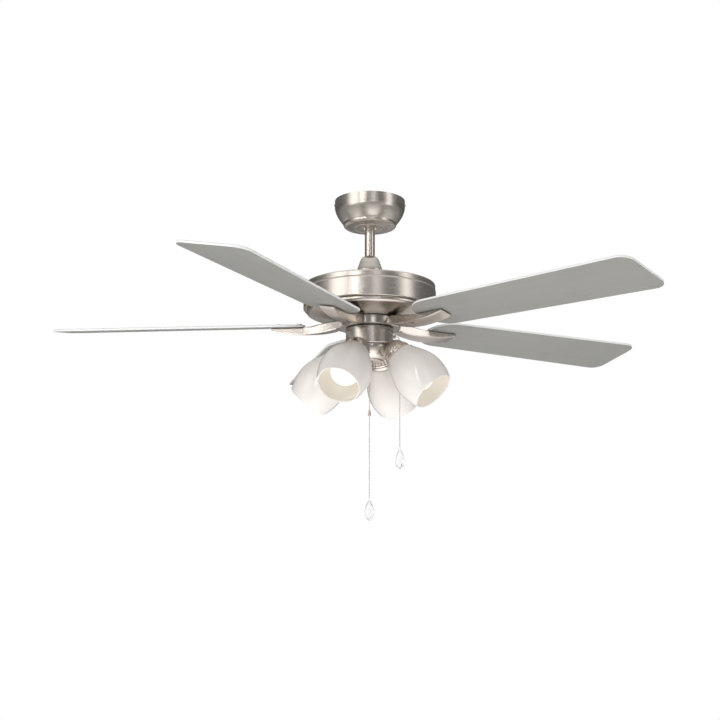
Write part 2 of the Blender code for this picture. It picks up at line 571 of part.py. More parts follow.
# ---------------------------------------------------------------- switch housing
def make_switch_housing():
    inside = CUP_R - SHEET
    outer = [(CUP_R, CUP_TOP), (CUP_R, CUP_BOTTOM + CUP_ROUND)]
    outer += arc(CUP_R - CUP_ROUND, CUP_BOTTOM + CUP_ROUND, CUP_ROUND, -30, -90, 2)
    outer += [(WIRE_HOLE_R, CUP_BOTTOM)]
    soft = CUP_ROUND - SHEET
    inner = [(WIRE_HOLE_R, CUP_BOTTOM + SHEET), (inside - soft, CUP_BOTTOM + SHEET),
             (inside, CUP_BOTTOM + SHEET + soft), (inside, CUP_TOP)]
    cup = turned("switch_housing", outer + inner, NICKEL, 30)
    port = rod("ferrule_hole", FERRULE_R + GAP, 0.02, STEEL, spin_z(FERRULE_AZ) @ along_x(CUP_R, 0, FERRULE_Z), 16)
    combine(cup, port, "DIFFERENCE")
    slider_z = CUP_TOP - SLIDER_DROP
    slot_h = SLIDER_H + SLIDER_TRAVEL + SLIDER_ROOM
    slot_z = slider_z - SLIDER_TRAVEL / 2
    slot_place = spin_z(SLIDER_AZ) @ at(CUP_R, 0, slot_z)
    combine(cup, box("slider_slot", (0.02, SLIDER_W + SLIDER_ROOM, slot_h), STEEL, slot_place), "DIFFERENCE")
    plate_r, plate_low = inside - GAP, CUP_TOP - PLATE_T
    bore = SHAFT_R + GAP
    turned("switch_plate", [(bore, CUP_TOP), (plate_r, CUP_TOP), (plate_r, plate_low), (bore, plate_low)], STEEL, 28)
    flare = FERRULE_R + SHEET
    hole = CHAIN_R + CHAIN_ROOM
    back = -FERRULE_OUT - 2 * SHEET + EDGE
    profile = [(hole, back), (FERRULE_R, back), (FERRULE_R, -FERRULE_FLARE - EDGE), (flare, -FERRULE_FLARE),
               (flare, -EDGE), (FERRULE_MOUTH_R, 0), (hole, 0)]
    turned("chain_ferrule", profile, NICKEL, 12, spin_z(FERRULE_AZ) @ along_x(CUP_R + FERRULE_OUT, 0, FERRULE_Z))
    box("speed_switch", SPEED_SWITCH, PLASTIC, spin_z(FERRULE_AZ) @ at(CUP_R - 0.016, 0, FERRULE_Z - 0.004))
    can_z = plate_low - GAP - CAPACITOR_L / 2 - 0.004
    rod("capacitor", CAPACITOR_R, CAPACITOR_L, PLASTIC, spin_z(CAPACITOR_AZ) @ at(0.030, 0, can_z), 16)
    middle = inside - SLIDER_BACK - REVERSE_SWITCH[0] / 2
    box("reverse_switch", REVERSE_SWITCH, PLASTIC, spin_z(SLIDER_AZ) @ at(middle, 0, slot_z))
    knob_x = middle + REVERSE_SWITCH[0] / 2 + GAP + SLIDER_L / 2
    box("reverse_slider", (SLIDER_L, SLIDER_W, SLIDER_H), PLASTIC, spin_z(SLIDER_AZ) @ at(knob_x, 0, slider_z))


# ---------------------------------------------------------------- light kit
def fitter_outline(grow):
    """Outer line of the fitter bowl, top to bottom, grown by a clearance."""
    steps = 5
    points = []
    for i in range(steps + 1):
        share = i / steps
        r = FITTER_FOOT_R + (FITTER_R - FITTER_FOOT_R) * cos(share * pi / 2)**0.8
        points.append((r + grow, FITTER_TOP - (FITTER_H - FITTER_FOOT_H) * share**0.9))
    return points + [(FITTER_FOOT_R - FITTER_FOOT_IN + grow, FITTER_BOTTOM - grow)]


def make_fitter():
    bore = CHAIN_R + CHAIN_ROOM
    neck = BUSHING_LIP_R - SHEET
    hole = neck + GAP
    outer = fitter_outline(0)
    inner = [(r - SHEET, z + SHEET) for r, z in reversed(outer[1:])]
    inner += [(FITTER_R - SHEET, FITTER_TOP)]
    turned("light_fitter", [*outer, (hole, FITTER_BOTTOM), (hole, FITTER_BOTTOM + SHEET), *inner], NICKEL, 22)
    low = FITTER_BOTTOM - GAP
    turned("chain_bushing", [
        (bore, low + BUSHING_IN), (neck, low + BUSHING_IN), (neck, low), (BUSHING_R, low), (BUSHING_R, low - BUSHING_T),
        (BUSHING_LIP_R, low - BUSHING_OUT), (bore, low - BUSHING_OUT)], NICKEL, 14)
    switch_z = FITTER_TOP - FITTER_FOOT_H - EDGE - LIGHT_SWITCH_L / 2
    rod("light_switch", LIGHT_SWITCH_R, LIGHT_SWITCH_L, PLASTIC, at(0, 0, switch_z), 16)


def shade_radius(s):
    """Outer radius of the glass at distance s from its collar."""
    belly = SHADE_BELLY_AT * SHADE_L
    if s < belly:
        return SHADE_COLLAR_R + (SHADE_BELLY_R - SHADE_COLLAR_R) * sin(pi / 2 * s / belly)
    return SHADE_BELLY_R - (SHADE_BELLY_R - SHADE_MOUTH_R) * ((s - belly) / (SHADE_L - belly))**2


def make_shade(number, place):
    steps = 6
    body = [0.0006 + (SHADE_L - 0.0012) * i / steps for i in range(steps + 1)]
    outer = [(SHADE_NECK_R, SHADE_NECK_L), (SHADE_NECK_R, 0)] + [(shade_radius(s), -s) for s in body]
    rim = [(SHADE_MOUTH_R - GLASS / 2, -SHADE_L)]
    inner = [(shade_radius(s) - GLASS, -s) for s in reversed(body[1:])]
    inner += [(SHADE_NECK_R - GLASS, -0.004), (SHADE_NECK_R - GLASS, SHADE_NECK_L)]
    turned(f"glass_shade_{number}", outer + rim + inner, FROST, 20, place)


def make_holder(number, place, clearances):
    ring_in, ring_low, ring_top = SHADE_NECK_R + NECK_ROOM, GAP, HOLDER_RING_H + EDGE
    seat = SHADE_NECK_L + 2 * NECK_ROOM
    cavity = SOCKET_R + SOCKET_ROOM
    floor = seat + SOCKET_SINK
    back, rise = HOLDER_BACK, HOLDER_BACK - ring_top
    profile = [(0, back), (HOLDER_BACK_R, back), (HOLDER_R * 0.67, back - rise * 0.16),
               (HOLDER_R * 0.82, back - rise * 0.33), (HOLDER_R * 0.90, back - rise * 0.47), (HOLDER_R, ring_top),
               (HOLDER_RING_R - EDGE, ring_top), (HOLDER_RING_R, HOLDER_RING_H), (HOLDER_RING_R, ring_low + EDGE),
               (HOLDER_RING_R - EDGE, ring_low), (ring_in, ring_low), (ring_in, seat), (cavity, seat),
               (cavity, floor), (0, floor)]
    holder = turned(f"lamp_holder_{number}", profile, NICKEL, 18, place)
    for clearance in clearances:
        combine(holder, clearance, "DIFFERENCE")
    back = floor - GAP
    front = back - SOCKET_L
    bore = BULB_BASE_R + GAP
    pocket = front + SOCKET_POCKET
    turned(f"lamp_socket_{number}", [(0, back), (SOCKET_R, back), (SOCKET_R, front), (bore, front), (bore, pocket),
                                     (0, pocket)], PORCELAIN, 14, place)
    base = pocket - GAP
    tip = base - BULB_L
    centre = tip + BULB_R
    neck_z = front - 2 * EDGE
    globe = arc(0, centre, BULB_R, 45, -90, 6)
    profile = [(0, base), (BULB_TIP_R, base), (BULB_BASE_R, base - 0.003), (BULB_BASE_R, neck_z)]
    profile += [(BULB_NECK_R - 0.002, neck_z - EDGE), (BULB_NECK_R, neck_z - 0.010), *globe[:-1], (0, tip)]
    turned(f"bulb_{number}", profile, LAMP, 14, place)


def make_light_kit():
    make_fitter()
    bowl = fitter_outline(GAP)
    bowl_room = turned("fitter_clearance", [(0, FITTER_TOP + 0.002), (FITTER_R + GAP, FITTER_TOP + 0.002), *bowl,
                                            (0, FITTER_BOTTOM - GAP)], STEEL, 28)
    cup_room = rod("cup_clearance", CUP_R + 0.0008, 0.02, STEEL, at(0, 0, CUP_BOTTOM + 0.01 - 0.0008), 36)
    for number in range(1, LAMPS + 1):
        turn = spin_z(FIRST_LAMP_AZ + (number - 1) * 360 / LAMPS)
        place = turn @ at(COLLAR_RADIUS, 0, COLLAR_Z) @ Matrix.Rotation(-radians(LAMP_TILT), 4, "Y")
        make_shade(number, place)
        make_holder(number, place, (bowl_room, cup_room))


# ---------------------------------------------------------------- pull chains
def smooth_route(route, azimuth, step):
    """Points a step apart on the smooth curve through a route's own points."""
    knots = [Vector((r * cos(radians(azimuth)), r * sin(radians(azimuth)), z)) for r, z in route]
    fine = []
    for i in range(len(knots) - 1):
        before, after = knots[max(i - 1, 0)], knots[min(i + 2, len(knots) - 1)]
        start, stop = knots[i], knots[i + 1]
        for part in range(12):
            t = part / 12
            fine.append(start * (2 * t**3 - 3 * t**2 + 1) + stop * (3 * t**2 - 2 * t**3)
                        + (stop - before) / 2 * (t**3 - 2 * t**2 + t) + (after - start) / 2 * (t**3 - t**2))
    fine.append(knots[-1])
    kept, run = [fine[0]], 0.0
    for here, there in zip(fine, fine[1:]):
        run += (there - here).length
        if run >= step:
            kept.append(there)
            run = 0.0
    if (kept[-1] - fine[-1]).length < step / 2:
        kept.pop()
    return kept + [fine[-1]]


def make_chain(name, route, azimuth):
    curve = bpy.data.curves.new(name, "CURVE")
    curve.dimensions = "3D"
    curve.bevel_depth = CHAIN_R
    curve.bevel_resolution = 2
    curve.use_fill_caps = True
    points = smooth_route(route, azimuth, CHAIN_STEP * 2 * CHAIN_R)
    spline = curve.splines.new("POLY")
    spline.points.add(len(points) - 1)
    for spot, point in zip(spline.points, points):
        spot.co = (*point, 1.0)
    curve.materials.append(STEEL)
    bpy.context.scene.collection.objects.link(bpy.data.objects.new(name, curve))


def make_fob(name, route, azimuth):
    radius, end = route[-1]
    steps = 8
    side = []
    for i in range(steps + 1):
        share = i / steps
        swell = sin(pi * share**1.5)**0.62 if 0 < share < 1 else 0.0
        side.append((max(FOB_R * swell, FOB_TOP_R * (1 - share)), -FOB_L * share))
    profile = [(0, 0), (FOB_TOP_R, 0), *side[1:-1], (0, -FOB_L)]
    turned(name, profile, CRYSTAL, 12, spin_z(azimuth) @ at(radius, 0, end - GAP))


def make_pull_chains():
    make_chain("fan_chain", FAN_CHAIN_ROUTE, FERRULE_AZ)
    make_fob("fan_fob", FAN_CHAIN_ROUTE, FERRULE_AZ)
    make_chain("light_chain", LIGHT_CHAIN_ROUTE, 0)
    make_fob("light_fob", LIGHT_CHAIN_ROUTE, 0)
    hole = CHAIN_R + CHAIN_ROOM
    half = CONNECTOR_L / 2
    profile = [(hole, half), (CONNECTOR_END_R, half), (CONNECTOR_R, -half * 0.2), (CONNECTOR_R, -half * 0.6),
               (CONNECTOR_END_R, -half), (hole, -half)]
    turned("chain_connector", profile, NICKEL, 12, at(0, 0, CONNECTOR_Z))


def hang(name, spot, prefixes, parent=None):
    """An empty on a joint's axis; the pieces named by the prefixes hang from it, where they already are."""
    empty = bpy.data.objects.new(name, None)
    empty.empty_display_size = 0.02
    empty.location = spot
    bpy.context.scene.collection.objects.link(empty)
    if parent is not None:
        empty.parent = parent
        empty.matrix_parent_inverse = Matrix.Translation(parent.location).inverted()
    for piece in bpy.data.objects:
        if piece.type in ("MESH", "CURVE") and piece.display_type != "WIRE" and piece.name.startswith(prefixes):
            piece.parent = empty
            piece.matrix_parent_inverse = Matrix.Translation(spot).inverted()
    return empty


def hang_from_joints():
    """The swinging frame under the ball, and what turns, pulls or slides on it."""
    chain_r = FAN_CHAIN_ROUTE[-1][0]
    chain_spot = spin_z(FERRULE_AZ) @ Vector((chain_r, 0, FAN_CHAIN_ROUTE[0][1]))
    slider_spot = bpy.data.objects["reverse_slider"].matrix_basis.translation.copy()
    frame = hang("frame_pivot", (0, 0, BALL_Z), (
        "hanger_ball", "ball_cross_pin", "downrod", "coupling", "motor", "upper_bearing", "lower_bearing", "stator",
        "switch", "chain_ferrule", "speed_switch", "capacitor", "reverse_switch", "light_fitter", "chain_bushing",
        "light_switch", "glass_shade", "lamp", "bulb"))
    hang("rotor_pivot", (0, 0, BLADE_Z), ("rotor_", "flywheel", "blade_"), frame)
    hang("fan_chain_pivot", chain_spot, ("fan_chain", "fan_fob"), frame)
    hang("light_chain_pivot", (0, 0, LIGHT_CHAIN_ROUTE[0][1]), ("light_chain", "chain_connector", "light_fob"), frame)
    hang("slider_pivot", slider_spot, ("reverse_slider",), frame)


def main():
    bracket = make_bracket()
    canopy = make_canopy()
    make_canopy_screws(bracket, canopy)
    downrod = make_hanger_ball()
    make_coupling(downrod)
    make_housing()
    make_shaft_and_rotor()
    make_blades()
    make_switch_housing()
    make_light_kit()
    make_pull_chains()
    hang_from_joints()


main()
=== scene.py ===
from math import atan2, cos, hypot, pi, radians, sin

import bmesh
import bpy
from bpy.props import FloatProperty, FloatVectorProperty, IntProperty, PointerProperty
from mathutils import Matrix, Vector


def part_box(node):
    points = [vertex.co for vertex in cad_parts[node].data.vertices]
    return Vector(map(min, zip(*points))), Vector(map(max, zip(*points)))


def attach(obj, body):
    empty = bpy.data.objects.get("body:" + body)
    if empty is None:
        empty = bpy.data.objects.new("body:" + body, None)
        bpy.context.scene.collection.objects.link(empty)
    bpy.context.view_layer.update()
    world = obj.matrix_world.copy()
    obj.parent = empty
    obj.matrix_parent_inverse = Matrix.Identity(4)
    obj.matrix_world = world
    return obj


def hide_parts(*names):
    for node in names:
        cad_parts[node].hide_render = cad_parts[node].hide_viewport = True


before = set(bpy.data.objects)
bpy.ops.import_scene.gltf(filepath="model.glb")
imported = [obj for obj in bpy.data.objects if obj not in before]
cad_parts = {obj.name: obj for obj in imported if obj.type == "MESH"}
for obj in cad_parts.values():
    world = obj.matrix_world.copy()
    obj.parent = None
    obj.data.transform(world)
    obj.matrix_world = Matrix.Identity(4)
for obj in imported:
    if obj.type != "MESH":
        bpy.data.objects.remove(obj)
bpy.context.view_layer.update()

bl_info = {
    "name": "Ceiling Fan With Light",
    "version": (1, 0, 0),
    "blender": (4, 5, 0),
    "location": "View3D > Sidebar > Fan",
    "description": "Builds the finished surfaces of a five-blade ceiling fan with a light kit round its frame",
    "category": "Object",
}


# ---------------------------------------------------------------- places, from the frame
def low_of(node):
    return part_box(node)[0]


def high_of(node):
    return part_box(node)[1]


def radius_of(node):
    return max(high_of(node)[0] - low_of(node)[0], high_of(node)[1] - low_of(node)[1]) / 2


def middle_of(node):
    return (Vector(low_of(node)) + Vector(high_of(node))) / 2


GAP = 0.0003
SHEET = 0.0012
BLADES = 5
BLADE_AZ = 174.0
BLADE_PITCH = -11.1
LAMPS = 4
LAMP_AZ = 64.5
LAMP_TILT = 43.0
FERRULE_AZ = 13.5

CANOPY_R = radius_of("canopy")
CANOPY_TOP = high_of("canopy")[2]
BOSS_BOTTOM = low_of("canopy")[2]
ROD_R = radius_of("downrod")
COVER_TOP = high_of("coupling_cover")[2]
COVER_BOTTOM = low_of("coupling_cover")[2]
COVER_R = radius_of("coupling_cover")
DRUM_R = radius_of("motor_housing")
DRUM_BOTTOM = low_of("motor_housing")[2]
DOME_TOP = high_of("motor_housing")[2]
LIP_R = radius_of("motor_lower_cover")
LIP_TOP = high_of("motor_lower_cover")[2]
CONE_BOTTOM = low_of("motor_lower_cover")[2]
HUB_TOP = high_of("blade_arm_1")[2]
CUP_R = radius_of("switch_housing")
CUP_TOP = high_of("switch_housing")[2]
CUP_BOTTOM = low_of("switch_housing")[2]
FITTER_R = radius_of("light_fitter")
FITTER_TOP = high_of("light_fitter")[2]
FITTER_BOTTOM = low_of("light_fitter")[2]
BLADE_Z = middle_of("blade_1")[2]

BOSS_R = 0.0335
BOSS_H = 0.0025
CANOPY_WALL_H = 0.0145
CANOPY_FOOT_R = 0.0562
CANOPY_FOOT_H = 0.0100
CANOPY_CURVE = 1.7       # how late the canopy's side turns in
DOME_H = 0.0075
BAND_H = 0.0145
BAND_INSET = 0.0012
CONE_H = 0.0112
HUB_R = 0.0645
HUB_BORE_R = 0.034
HUB_H = 0.0163
ARM_W = 0.033
ARM_END_R = 0.205
ARM_END_T = 0.0060
ARM_SAG = 0.0185
ARM_LOW_R = 0.133
ARM_PAD_R = 0.140
BLADE_TIP_R = 0.6604
SKIN = 0.0002            # how far a finer surface stays inside its rougher sizes
BLADE_ROOT_R = 0.1370
BLADE_ROOT_W = 0.1172
BLADE_TIP_W = 0.1452
BLADE_T = 0.0050
TIP_CORNER_R = 0.026
ROOT_CORNER_R = 0.053
COLLAR_RADIUS = 0.0686
COLLAR_DROP = 0.0247
SHADE_L = 0.110
SHADE_BELLY_R = 0.0534
SHADE_BELLY_AT = 0.62
SHADE_MOUTH_R = 0.0434
SHADE_COLLAR_R = 0.0300
SHADE_NECK_R = 0.0272
SHADE_NECK_L = 0.010
GLASS = 0.0030
HOLDER_BACK = 0.034
HOLDER_R = 0.0262
HOLDER_RING_R = 0.0293
HOLDER_RING_H = 0.0077
BULB_R = 0.0300
BULB_BASE_R = 0.0132
BULB_L = 0.094
SOCKET_R = 0.0165
SOCKET_L = 0.0415
CHAIN_D = 0.0024
FITTER_FOOT_R = 0.0270
FITTER_FOOT_H = 0.0040
PIN_HOLE_R = 0.0033
FOB_R = 0.0093
FOB_L = 0.046
FOB_TOP_R = 0.0024

# Routes of the chains, as points in the frame: (distance from the fan's axis, height).
FAN_CHAIN_ROUTE = [
    (0.0560, -0.2905), (0.0585, -0.2905), (0.0608, -0.2911), (0.0626, -0.2928), (0.0637, -0.2955),
    (0.0642, -0.2990), (0.0643, -0.3040), (0.0643, -0.3150), (0.0643, -0.3300), (0.0643, -0.3500),
    (0.0643, -0.3750), (0.0643, -0.4000), (0.0643, -0.4250), (0.0643, -0.4500), (0.0643, -0.4750),
    (0.0643, -0.5000), (0.0643, -0.5212),
]
LIGHT_CHAIN_ROUTE = [(0.0, -0.3360)] + [(0.0, round(-0.35 - 0.02 * i, 4)) for i in range(14)] + [(0.0, -0.6276)]


# ---------------------------------------------------------------- settings
def colour(name, description, default):
    return FloatVectorProperty(name=name, description=description, default=default, subtype="COLOR", size=3, min=0,
                               max=1)


def length(name, description, default, low, high, precision=3):
    return FloatProperty(name=name, description=description, default=default, min=low, max=high, unit="LENGTH",
                         precision=precision)


class FanFinishSettings(bpy.types.PropertyGroup):
    nickel: colour("Nickel", "Colour of the brushed nickel", (0.60, 0.55, 0.50))
    nickel_roughness: FloatProperty(
        name="Nickel roughness", description="How soft the nickel's highlights are", default=0.25, min=0.05, max=1,
        subtype="FACTOR")
    board: colour("Blade paint", "Colour of the blades' faces", (0.275, 0.272, 0.252))
    # painted highlight: near-white colour of the band along the blades' edges
    painted_edge_highlight: colour("Blade edge", "Colour of the blades' edge band", (0.92, 0.92, 0.90))
    glass: colour("Frosted glass", "Colour of the shades", (0.93, 0.90, 0.87))
    # painted glow: emission colour painted on the shades' glass
    glow: colour("Lamp glow", "Colour of the light that fills the shades", (1.0, 0.83, 0.72))
    lamp: colour("Lamp", "Colour of the lit bulbs", (1.0, 0.98, 0.86))


class FanDetailSettings(bpy.types.PropertyGroup):
    flutes: IntProperty(
        name="Flutes", description="Ribs round each lamp holder", default=20, min=8, max=40)
    flute_depth: length(
        "Flute depth", "Depth of the hollows between a lamp holder's ribs", 0.0019,
        0, 0.003, 4)
    bead_pitch: length(
        "Bead pitch", "Distance from one bead of a pull chain to the next", 0.0031,
        0.0026, 0.005, 4)
    screw_radius: length(
        "Screw head", "Radius of a blade screw's head", 0.0042,
        0.002, 0.006, 4)
    chamfer: length(
        "Arm chamfer", "Width of the bevel along a blade arm's lower edges", 0.0022,
        0.0002, 0.003, 4)


class FanStageSettings(bpy.types.PropertyGroup):
    camera_distance: FloatProperty(
        name="Camera distance", description="From the fan's axis to the camera", default=2.751, min=0.5, max=20,
        unit="LENGTH")
    camera_drop: FloatProperty(
        name="Camera drop", description="Height of the blades over the camera", default=0.6242, unit="LENGTH")
    camera_yaw: FloatProperty(
        name="Camera yaw", description="How far the camera turns aside", default=radians(-0.4131), unit="ROTATION")
    camera_pitch: FloatProperty(
        name="Camera pitch", description="How far the camera looks up", default=radians(11.299), unit="ROTATION")
    camera_roll: FloatProperty(
        name="Camera roll", description="How far the camera leans", default=radians(0.2), unit="ROTATION")
    lens: FloatProperty(
        name="Lens", description="Focal length on a 36 mm sensor", default=67.787, min=10, max=300)
    floor_depth: FloatProperty(
        name="Floor depth", description="From the ceiling down to the floor", default=2.6, min=1, max=10,
        unit="LENGTH")


# ---------------------------------------------------------------- shader groups
def group(name, inputs, outputs):
    """An empty shader node group with its sockets: (kind, name, default)."""
    tree = bpy.data.node_groups.new(name, "ShaderNodeTree")
    for kind, label, default in inputs:
        socket = tree.interface.new_socket(name=label, in_out="INPUT", socket_type=f"NodeSocket{kind}")
        if default is not None:
            socket.default_value = default
    for kind, label in outputs:
        tree.interface.new_socket(name=label, in_out="OUTPUT", socket_type=f"NodeSocket{kind}")
    return tree, tree.nodes.new("NodeGroupInput"), tree.nodes.new("NodeGroupOutput")


def node(tree, kind, links=None, **settings):
    """A node with its settings, and its inputs linked or set by name or number."""
    made = tree.nodes.new(f"ShaderNode{kind}")
    for key, value in settings.items():
        setattr(made, key, value)
    for key, value in (links or {}).items():
        if isinstance(value, bpy.types.NodeSocket):
            tree.links.new(value, made.inputs[key])
        else:
            made.inputs[key].default_value = value
    return made


def math(tree, operation, *values):
    return node(tree, "Math", dict(enumerate(values)), operation=operation).outputs[0]


def scaled_noise(tree, vector, scale, detail=3.0, roughness=0.5):
    made = node(tree, "TexNoise", {"Vector": vector, "Scale": scale, "Detail": detail, "Roughness": roughness})
    return made.outputs["Fac"]


def spread(tree, value, low, high, start, stop):
    links = {"Value": value, "From Min": low, "From Max": high, "To Min": start, "To Max": stop}
    return node(tree, "MapRange", links).outputs["Result"]


def turned_brushing_group():
    """Fine rings round a turned piece, with slow wandering, for its polish and its relief."""
    tree, given, out = group("Turned brushing", [("Vector", "Place", None), ("Float", "Fineness", 1.0)],
                             [("Float", "Rings"), ("Float", "Cloud")])
    parts = node(tree, "SeparateXYZ", {0: given.outputs["Place"]})
    flat = node(tree, "CombineXYZ", {0: parts.outputs[0], 1: parts.outputs[1], 2: 0.0})
    radius = node(tree, "VectorMath", {0: flat.outputs[0]}, operation="LENGTH").outputs["Value"]
    drift = scaled_noise(tree, given.outputs["Place"], 14.0, 2.0)
    ring = node(tree, "CombineXYZ", {
        0: math(tree, "MULTIPLY", radius, given.outputs["Fineness"]),
        1: math(tree, "MULTIPLY", parts.outputs[2], given.outputs["Fineness"]),
        2: math(tree, "MULTIPLY", drift, 0.0006)})
    fine = scaled_noise(tree, ring.outputs[0], 1800.0, 2.0, 0.6)
    broad = scaled_noise(tree, ring.outputs[0], 420.0, 2.0, 0.6)
    both = math(tree, "ADD", math(tree, "MULTIPLY", fine, 0.75), math(tree, "MULTIPLY", broad, 0.25))
    tree.links.new(both, out.inputs["Rings"])
    tree.links.new(scaled_noise(tree, given.outputs["Place"], 22.0, 4.0, 0.55), out.inputs["Cloud"])
    return tree


def straight_brushing_group():
    """Fine scratches along X, for flat and cast pieces."""
    tree, given, out = group("Straight brushing", [("Vector", "Place", None), ("Float", "Fineness", 1.0)],
                             [("Float", "Scratches"), ("Float", "Cloud")])
    drawn = node(tree, "VectorMath", {0: given.outputs["Place"], 1: (0.10, 1.0, 1.0)}, operation="MULTIPLY")
    fine = node(tree, "VectorMath", {0: drawn.outputs[0], 3: given.outputs["Fineness"]}, operation="SCALE")
    tree.links.new(scaled_noise(tree, fine.outputs[0], 2600.0, 2.0, 0.5), out.inputs["Scratches"])
    tree.links.new(scaled_noise(tree, given.outputs["Place"], 24.0, 4.0, 0.55), out.inputs["Cloud"])
    return tree


def fine_grain_group():
    """Orange peel and specks of sprayed paint, moulded plastic or etched glass."""
    tree, given, out = group("Fine grain", [("Vector", "Place", None), ("Float", "Size", 0.0005)],
                             [("Float", "Grain"), ("Float", "Cloud")])
    scale = math(tree, "DIVIDE", 1.0, given.outputs["Size"])
    grain = node(tree, "TexNoise", {"Vector": given.outputs["Place"], "Scale": scale, "Detail": 3.0})
    tree.links.new(grain.outputs["Fac"], out.inputs["Grain"])
    tree.links.new(scaled_noise(tree, given.outputs["Place"], 9.0, 4.0, 0.5), out.inputs["Cloud"])
    return tree


def wood_grain_group():
    """Pores and long figure of plywood that show through thin paint, along X."""
    tree, given, out = group("Board grain", [("Vector", "Place", None), ("Float", "Stretch", 0.035)],
                             [("Float", "Pores"), ("Float", "Figure")])
    squeeze = node(tree, "CombineXYZ", {0: given.outputs["Stretch"], 1: 1.0, 2: 1.0})
    drawn = node(tree, "VectorMath", {0: given.outputs["Place"], 1: squeeze.outputs[0]}, operation="MULTIPLY")
    tree.links.new(scaled_noise(tree, drawn.outputs[0], 620.0, 4.0, 0.65), out.inputs["Pores"])
    tree.links.new(scaled_noise(tree, drawn.outputs[0], 60.0, 3.0, 0.5), out.inputs["Figure"])
    return tree


# ---------------------------------------------------------------- materials
def start_material(name, own_place=True):
    """A material with its Principled shader, and the place on the piece that its patterns follow."""
    mat = bpy.data.materials.new(name)
    mat.use_nodes = True
    tree = mat.node_tree
    shader = tree.nodes["Principled BSDF"]
    if own_place:
        place = node(tree, "Attribute", attribute_name="own_place").outputs["Vector"]
    else:
        place = node(tree, "TexCoord").outputs["Object"]
    return mat, tree, shader, place


def use_group(tree, name, **inputs):
    made = tree.nodes.new("ShaderNodeGroup")
    made.node_tree = bpy.data.node_groups[name]
    for key, value in inputs.items():
        label = key.capitalize()
        if isinstance(value, bpy.types.NodeSocket):
            tree.links.new(value, made.inputs[label])
        else:
            made.inputs[label].default_value = value
    return made


def mixed(tree, factor, first, second):
    """From the first colour to the second by a mask. The colour sockets of this node are numbers 6 and 7."""
    return node(tree, "Mix", {0: factor, 6: first, 7: second}, data_type="RGBA").outputs[2]


def tint(tree, colour, factor, amount):
    """The colour made darker and lighter by a mask, by this share either way."""
    dark = tuple(c * (1 - amount) for c in colour)
    light = tuple(min(c * (1 + amount), 1.0) for c in colour)
    return mixed(tree, factor, (*dark, 1.0), (*light, 1.0))


def relief(tree, shader, height, strength, distance):
    bump = node(tree, "Bump", {"Height": height, "Strength": strength, "Distance": distance})
    tree.links.new(bump.outputs["Normal"], shader.inputs["Normal"])


def brushed_metal(name, colour, roughness, turned=True, own_place=True, fineness=1.0, anisotropic=0.75):
    mat, tree, shader, place = start_material(name, own_place)
    kind, mask = ("Turned brushing", "Rings") if turned else ("Straight brushing", "Scratches")
    brushing = use_group(tree, kind, place=place, fineness=fineness)
    lines, cloud = brushing.outputs[mask], brushing.outputs["Cloud"]
    both = math(tree, "ADD", math(tree, "MULTIPLY", lines, 0.7), math(tree, "MULTIPLY", cloud, 0.3))
    tree.links.new(tint(tree, colour, spread(tree, both, 0.3, 0.7, 0.0, 1.0), 0.04), shader.inputs["Base Color"])
    rough = math(tree, "ADD", spread(tree, lines, 0.3, 0.7, roughness - 0.03, roughness + 0.03),
                 spread(tree, cloud, 0.35, 0.65, -0.01, 0.01))
    tree.links.new(rough, shader.inputs["Roughness"])
    shader.inputs["Metallic"].default_value = 1.0
    if turned and own_place:
        shader.inputs["Anisotropic"].default_value = anisotropic
        tangent = node(tree, "Tangent", direction_type="UV_MAP", uv_map="turn")
        tree.links.new(tangent.outputs[0], shader.inputs["Tangent"])
    relief(tree, shader, lines, 0.05, 0.0001)
    return mat


def painted_board(name, colour, edge_highlight_colour):
    mat, tree, shader, place = start_material(name)
    grain = use_group(tree, "Board grain", place=place)
    peel = use_group(tree, "Fine grain", place=place, size=0.0011)
    figure = math(tree, "ADD", math(tree, "MULTIPLY", grain.outputs["Figure"], 0.5),
                  math(tree, "MULTIPLY", peel.outputs["Cloud"], 0.5))
    face = tint(tree, colour, spread(tree, figure, 0.3, 0.7, 0.0, 1.0), 0.05)
    height = node(tree, "SeparateXYZ", {0: place}).outputs[2]
    # Painted highlight: a near-white band on the blade's rounded side edges, where the light catches them.
    rim = spread(tree, math(tree, "ABSOLUTE", height), BLADE_T / 2 - 0.0007, BLADE_T / 2 - 0.0004, 1.0, 0.0)
    tree.links.new(mixed(tree, rim, face, (*edge_highlight_colour, 1.0)), shader.inputs["Base Color"])
    tree.links.new(spread(tree, grain.outputs["Pores"], 0.3, 0.7, 0.42, 0.55), shader.inputs["Roughness"])
    shader.inputs["Specular IOR Level"].default_value = 0.4
    both = math(tree, "ADD", math(tree, "MULTIPLY", grain.outputs["Pores"], 0.6), peel.outputs["Grain"])
    relief(tree, shader, both, 0.12, 0.0002)
    return mat


def frosted_glass(name, colour, glow):
    """Etched white glass with a painted glow: warm emission painted on the glass, growing from the collar to the
    mouth.
    """
    mat, tree, shader, place = start_material(name)
    grain = use_group(tree, "Fine grain", place=place, size=0.0007)
    tree.links.new(tint(tree, colour, grain.outputs["Cloud"], 0.02), shader.inputs["Base Color"])
    tree.links.new(spread(tree, grain.outputs["Grain"], 0.3, 0.7, 0.60, 0.72), shader.inputs["Roughness"])
    shader.inputs["Specular IOR Level"].default_value = 0.25
    # Painted glow: the glass itself emits the glow colour, from 80 % of it at the collar to all of it halfway to the
    # mouth.
    along = node(tree, "SeparateXYZ", {0: place}).outputs[2]
    share = spread(tree, along, 0.0, -SHADE_L, 0.0, 1.0)
    strength = spread(tree, share, 0.0, 0.5, 0.80, 1.0)
    light = mixed(tree, strength, (0.0, 0.0, 0.0, 1.0), (*glow, 1.0))
    tree.links.new(light, shader.inputs["Emission Color"])
    shader.inputs["Emission Strength"].default_value = 0.62
    shader.inputs["Subsurface Weight"].default_value = 0.25
    shader.inputs["Subsurface Radius"].default_value = (0.012, 0.010, 0.008)
    shader.inputs["Subsurface Scale"].default_value = 1.0
    relief(tree, shader, grain.outputs["Grain"], 0.06, 0.0002)
    return mat


